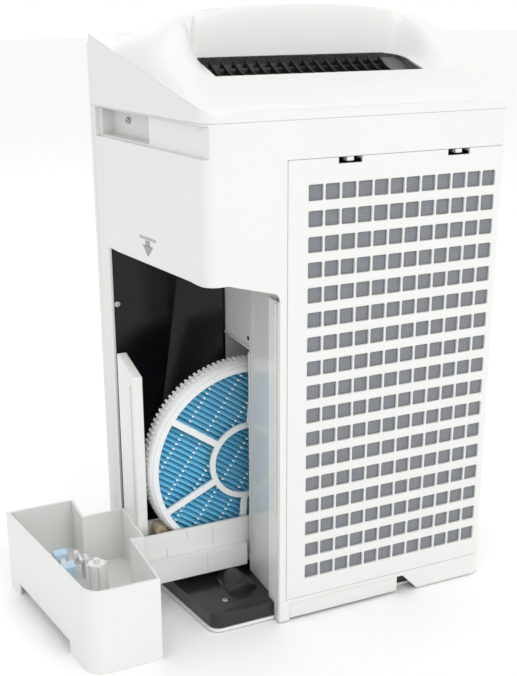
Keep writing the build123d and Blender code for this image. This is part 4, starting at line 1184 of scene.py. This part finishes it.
@dataclass
class BayTrim:
    """Stepped edge strip with catch bumps, and dark blocks that paint the shade in the slot's notches on the
    filter box.
    """

    edge: float = 88.0
    rear: float = 115.0
    foot: float = 123.0
    top: float = 344.0
    bumps: int = 6
    bump_margin: float = 15.0
    bump_radius: float = 1.7
    slot_rear: float = 36.0
    slot_front: float = -45.5
    slot_top: float = 270.0
    slot_face: float = 76.9
    notch_shades: int = 3

    def build(self) -> None:
        """Make the strip, and the slot's frame with its painted notch shade."""
        edge, rear, foot, top = self.edge, self.rear, self.foot, self.top
        strip = [
            block((edge - 0.1, rear - 8.5, foot), (edge + 2.2, rear - 6.0, top), 0.5),
            block((edge - 0.1, rear - 3.4, 4), (edge + 0.9, rear - 0.8, top + 2), 0.35),
        ]
        step = (top - foot - 2 * self.bump_margin) / (self.bumps - 1)
        for index in range(self.bumps):
            z = foot + self.bump_margin + step * index
            strip.append(rod((edge + 2.0, rear - 9.2, z), (1, 0, 0), self.bump_radius, 2.0, 0.5, 20))
        assemble(strip, "bay_edge_strip", "casing", "casing_white", Finish.CASING)
        self.slot_frame()

    def slot_frame(self) -> None:
        """Frame the slot that the wheel passes, with stepped dark blocks at its upper rear corner that paint
        the shade inside its notches.
        """
        _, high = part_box("filter_box")
        wall, rear, top, face = high.x / MM, self.slot_rear, self.slot_top, self.slot_face
        bars = [
            block((wall - 0.2, rear, 22), (wall + 1.6, rear + 3.2, top + 4), 0.5),
            block((face, self.slot_front, top), (face + 1.7, rear, top + 3.0), 0.5),
            block((wall - 0.2, rear + 9, 60), (wall + 0.7, rear + 10, 350), 0.25),
        ]
        assemble(bars, "slot_frame", "casing", "inner_grey", Finish.INNER)
        # dark blocks laid on the face paint the shade inside each notch
        notch_shades = []
        for index in range(self.notch_shades):
            y, low, tall = rear - 3 - 7 * index, top + 4.5 + 2.5 * index, top + 7.0 + 3.0 * index
            notch_shades.append(block((face - 0.1, y, low), (face + 1.0, y - 5, tall), 0.2))
        assemble(notch_shades, "slot_notch_shade", "casing", "dark_plastic", Finish.DARK, 0.0)


@dataclass
class TrayTrim:
    """Painted shade lines along the trough's seams, the slot cover, and the bar and knob on the float."""

    pull: tuple[float, float] = (129.0, 8.0)
    trough_rear: float = 21.0
    bulge: float = 7.0
    seam: float = 0.6
    cover_rise: float = 2.0
    cover_fall: float = 9.0

    def build(self) -> None:
        """Make the trim pieces that ride on the tray."""
        dx, dy = self.pull
        upper, lower = self.trough_rear + dy, self.trough_rear + dy + self.bulge
        runs = (
            (49.0, upper, 49.5, 66.0),
            (26.0, upper, 73.0, 81.0),
            (-3.0, upper, 57.0, 81.0),
            (6.0, lower, 31.0, 54.0),
        )
        # thin darker strips that paint the shade in the trough's seams
        seam_shade_lines = [
            block((x + dx, face - 0.2, low), (x + dx + self.seam, face + 0.35, high), 0.15)
            for x, face, low, high in runs
        ]
        assemble(seam_shade_lines, "trough_seam_shade", "tray", "tray_white", Finish.TRAY_SHADE, 0.0)
        self.cover()
        knob = rod((267, -8, 60), (0, 0, 1), 2.8, 9, 0.8, 24)
        bar = block((262, -20, 56.5), (266, 4, 60), 0.8)
        assemble([knob, bar], "float_guard", "float", "tray_white", Finish.TRAY)

    def cover(self) -> None:
        """Flat slot cover with a straight sloping top and a raised edge rib."""
        low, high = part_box("slot_cover")
        slab = block(low / MM, high / MM, 0.0)
        middle = (low + high) / 2
        for vertex in slab.data.vertices:
            if vertex.co.z > middle.z:
                vertex.co.z += (self.cover_rise if vertex.co.y < middle.y else -self.cover_fall) * MM
        apply_modifier(slab, "BEVEL", width=1.3 * MM, segments=3, limit_method="ANGLE")
        right, rear, foot = high.x / MM, high.y / MM, low.z / MM
        rib = block((right - 0.4, rear - 9.0, foot + 2), (right + 1.6, rear - 6.8, 246), 0.7)
        whole = assemble([slab, rib], "slot_cover_panel", "tray", "tray_white", Finish.TRAY)
        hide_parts("slot_cover")


@dataclass
class BaseTrim:
    """Hump and web on the shelf under the bay, and the strip under the rear panel."""

    middle: tuple[float, float, float] = (109.0, 50.0, 11.0)
    radius: float = 19.0
    run: float = 40.0
    shelf: float = 19.8
    strip_low: tuple[float, float, float] = (-54.0, 112.2, 3.0)
    strip_high: tuple[float, float, float] = (76.5, 113.8, 22.0)

    def arch(self) -> bpy.types.Object:
        """Rounded hump that stands on the shelf."""
        hump = rod(self.middle, (0, 1, 0), self.radius, self.run, 2.0, 64)
        x, y, _ = self.middle
        cutter = block((x - 40, y - 40, -40), (x + 40, y + 40, self.shelf), 0.0)
        carve(hump, cutter)
        return hump

    def build(self) -> None:
        """Make the hump, the web and the strip under the rear panel."""
        web = block((91, 96, self.shelf - 0.1), (140, 97.4, self.shelf + 0.8), 0.3)
        assemble([self.arch(), web], "shelf_ridges", "casing", "base_dark", Finish.BASE)
        strip = block(self.strip_low, self.strip_high, 0.5)
        assemble([strip], "rear_skirt_strip", "casing", "casing_white", Finish.CASING)


@dataclass
class FilterPleats:
    """Accordion folds of the fine dust filter, between its frame's walls."""

    pitch: float = 4.0
    inset: float = 2.5
    paper: float = 0.4

    def build(self) -> None:
        """Fold a sheet between the frame's walls."""
        low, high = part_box("hepa_media")
        count = int((high.x - low.x) / (self.pitch * MM)) * 2
        clear_selection()
        bpy.ops.mesh.primitive_grid_add(x_subdivisions=count, y_subdivisions=1, size=2.0)
        sheet = bpy.context.object
        step = (high.x - low.x) / count
        for index, vertex in enumerate(sheet.data.vertices):
            row, column = divmod(index, count + 1)
            y = high.y - self.inset * MM if column % 2 else low.y + self.inset * MM
            vertex.co = Vector((low.x + column * step, y, high.z if row else low.z))
        apply_modifier(sheet, "SOLIDIFY", thickness=self.paper * MM, offset=0.0)
        place(sheet, "dust_filter_pleats", "fine_filter", "filter_paper", Finish.PAPER)
        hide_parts("hepa_media")


# ------------------------------------------------------------------ studio


@dataclass
class Studio:
    """Floor, lights, sky and camera."""

    eye: tuple[float, float, float] = (0.505, 0.989, 0.623)
    look: tuple[float, float, float] = (-0.392, -0.868, -0.306)
    roll: float = -0.23
    lens: float = 57.1
    sky: float = 1.0

    def build(self) -> None:
        """Make the whole studio."""
        self.camera()
        self.floor()
        self.lights()

    def camera(self) -> None:
        """Place the camera at the viewing angle."""
        data = bpy.data.cameras.new("camera")
        data.lens = self.lens
        data.sensor_width = 36.0
        data.clip_start = 0.01
        camera = bpy.data.objects.new("camera", data)
        bpy.context.scene.collection.objects.link(camera)
        aim = Vector(self.look).to_track_quat("-Z", "Y")
        camera.rotation_mode = "QUATERNION"
        camera.rotation_quaternion = aim @ Quaternion((0, 0, 1), math.radians(self.roll))
        camera.location = self.eye
        bpy.context.scene.camera = camera

    def floor(self) -> None:
        """Lay the pale floor."""
        clear_selection()
        bpy.ops.mesh.primitive_plane_add(size=30.0, location=(0, 0, 0))
        floor = bpy.context.object
        floor.name = "floor"
        graph = Graph("floor")
        drift = graph.noise(3.0, 2.0)
        colour = graph.mix(drift, rgb(0.93, 0.93, 0.93), rgb(0.95, 0.95, 0.95))
        floor.data.materials.append(graph.finish(Base_Color=colour, Roughness=0.55))

    def lights(self) -> None:
        """Hang the soft boxes and set the sky."""
        boxes = (
            ("key", (-0.5, 2.6, 1.9), 1.8, 20.0),
            ("fill", (2.2, 1.2, 1.4), 2.2, 1.0),
            ("front", (0.3, -2.4, 2.0), 2.0, 4.0),
            ("top", (0.0, 0.1, 3.0), 2.2, 6.0),
        )
        for name, spot, size, power in boxes:
            data = bpy.data.lights.new(name, "AREA")
            data.shape = "DISK"
            data.size = size
            data.energy = power
            light = bpy.data.objects.new(name, data)
            light.location = spot
            aim = Vector((0, 0, 0.3)) - Vector(spot)
            light.rotation_mode = "QUATERNION"
            light.rotation_quaternion = aim.to_track_quat("-Z", "Y")
            bpy.context.scene.collection.objects.link(light)
        world = bpy.data.worlds.new("sky")
        world.use_nodes = True
        background = world.node_tree.nodes["Background"]
        background.inputs["Color"].default_value = rgb(1.0, 1.0, 1.0)
        background.inputs["Strength"].default_value = self.sky
        bpy.context.scene.world = world
        bpy.context.scene.view_settings.view_transform = "Standard"


def main() -> None:
    """Build everything in order and report each piece."""
    logging.basicConfig(level=logging.INFO, format="%(message)s")
    dress_cad()
    kinds = (TopCover, Outlet, FilterWheel, Screws, Marks, BayTrim, TrayTrim, BaseTrim, FilterPleats)
    for kind in kinds:
        kind().build()
    Studio().build()


if __name__ == "__main__":
    main()
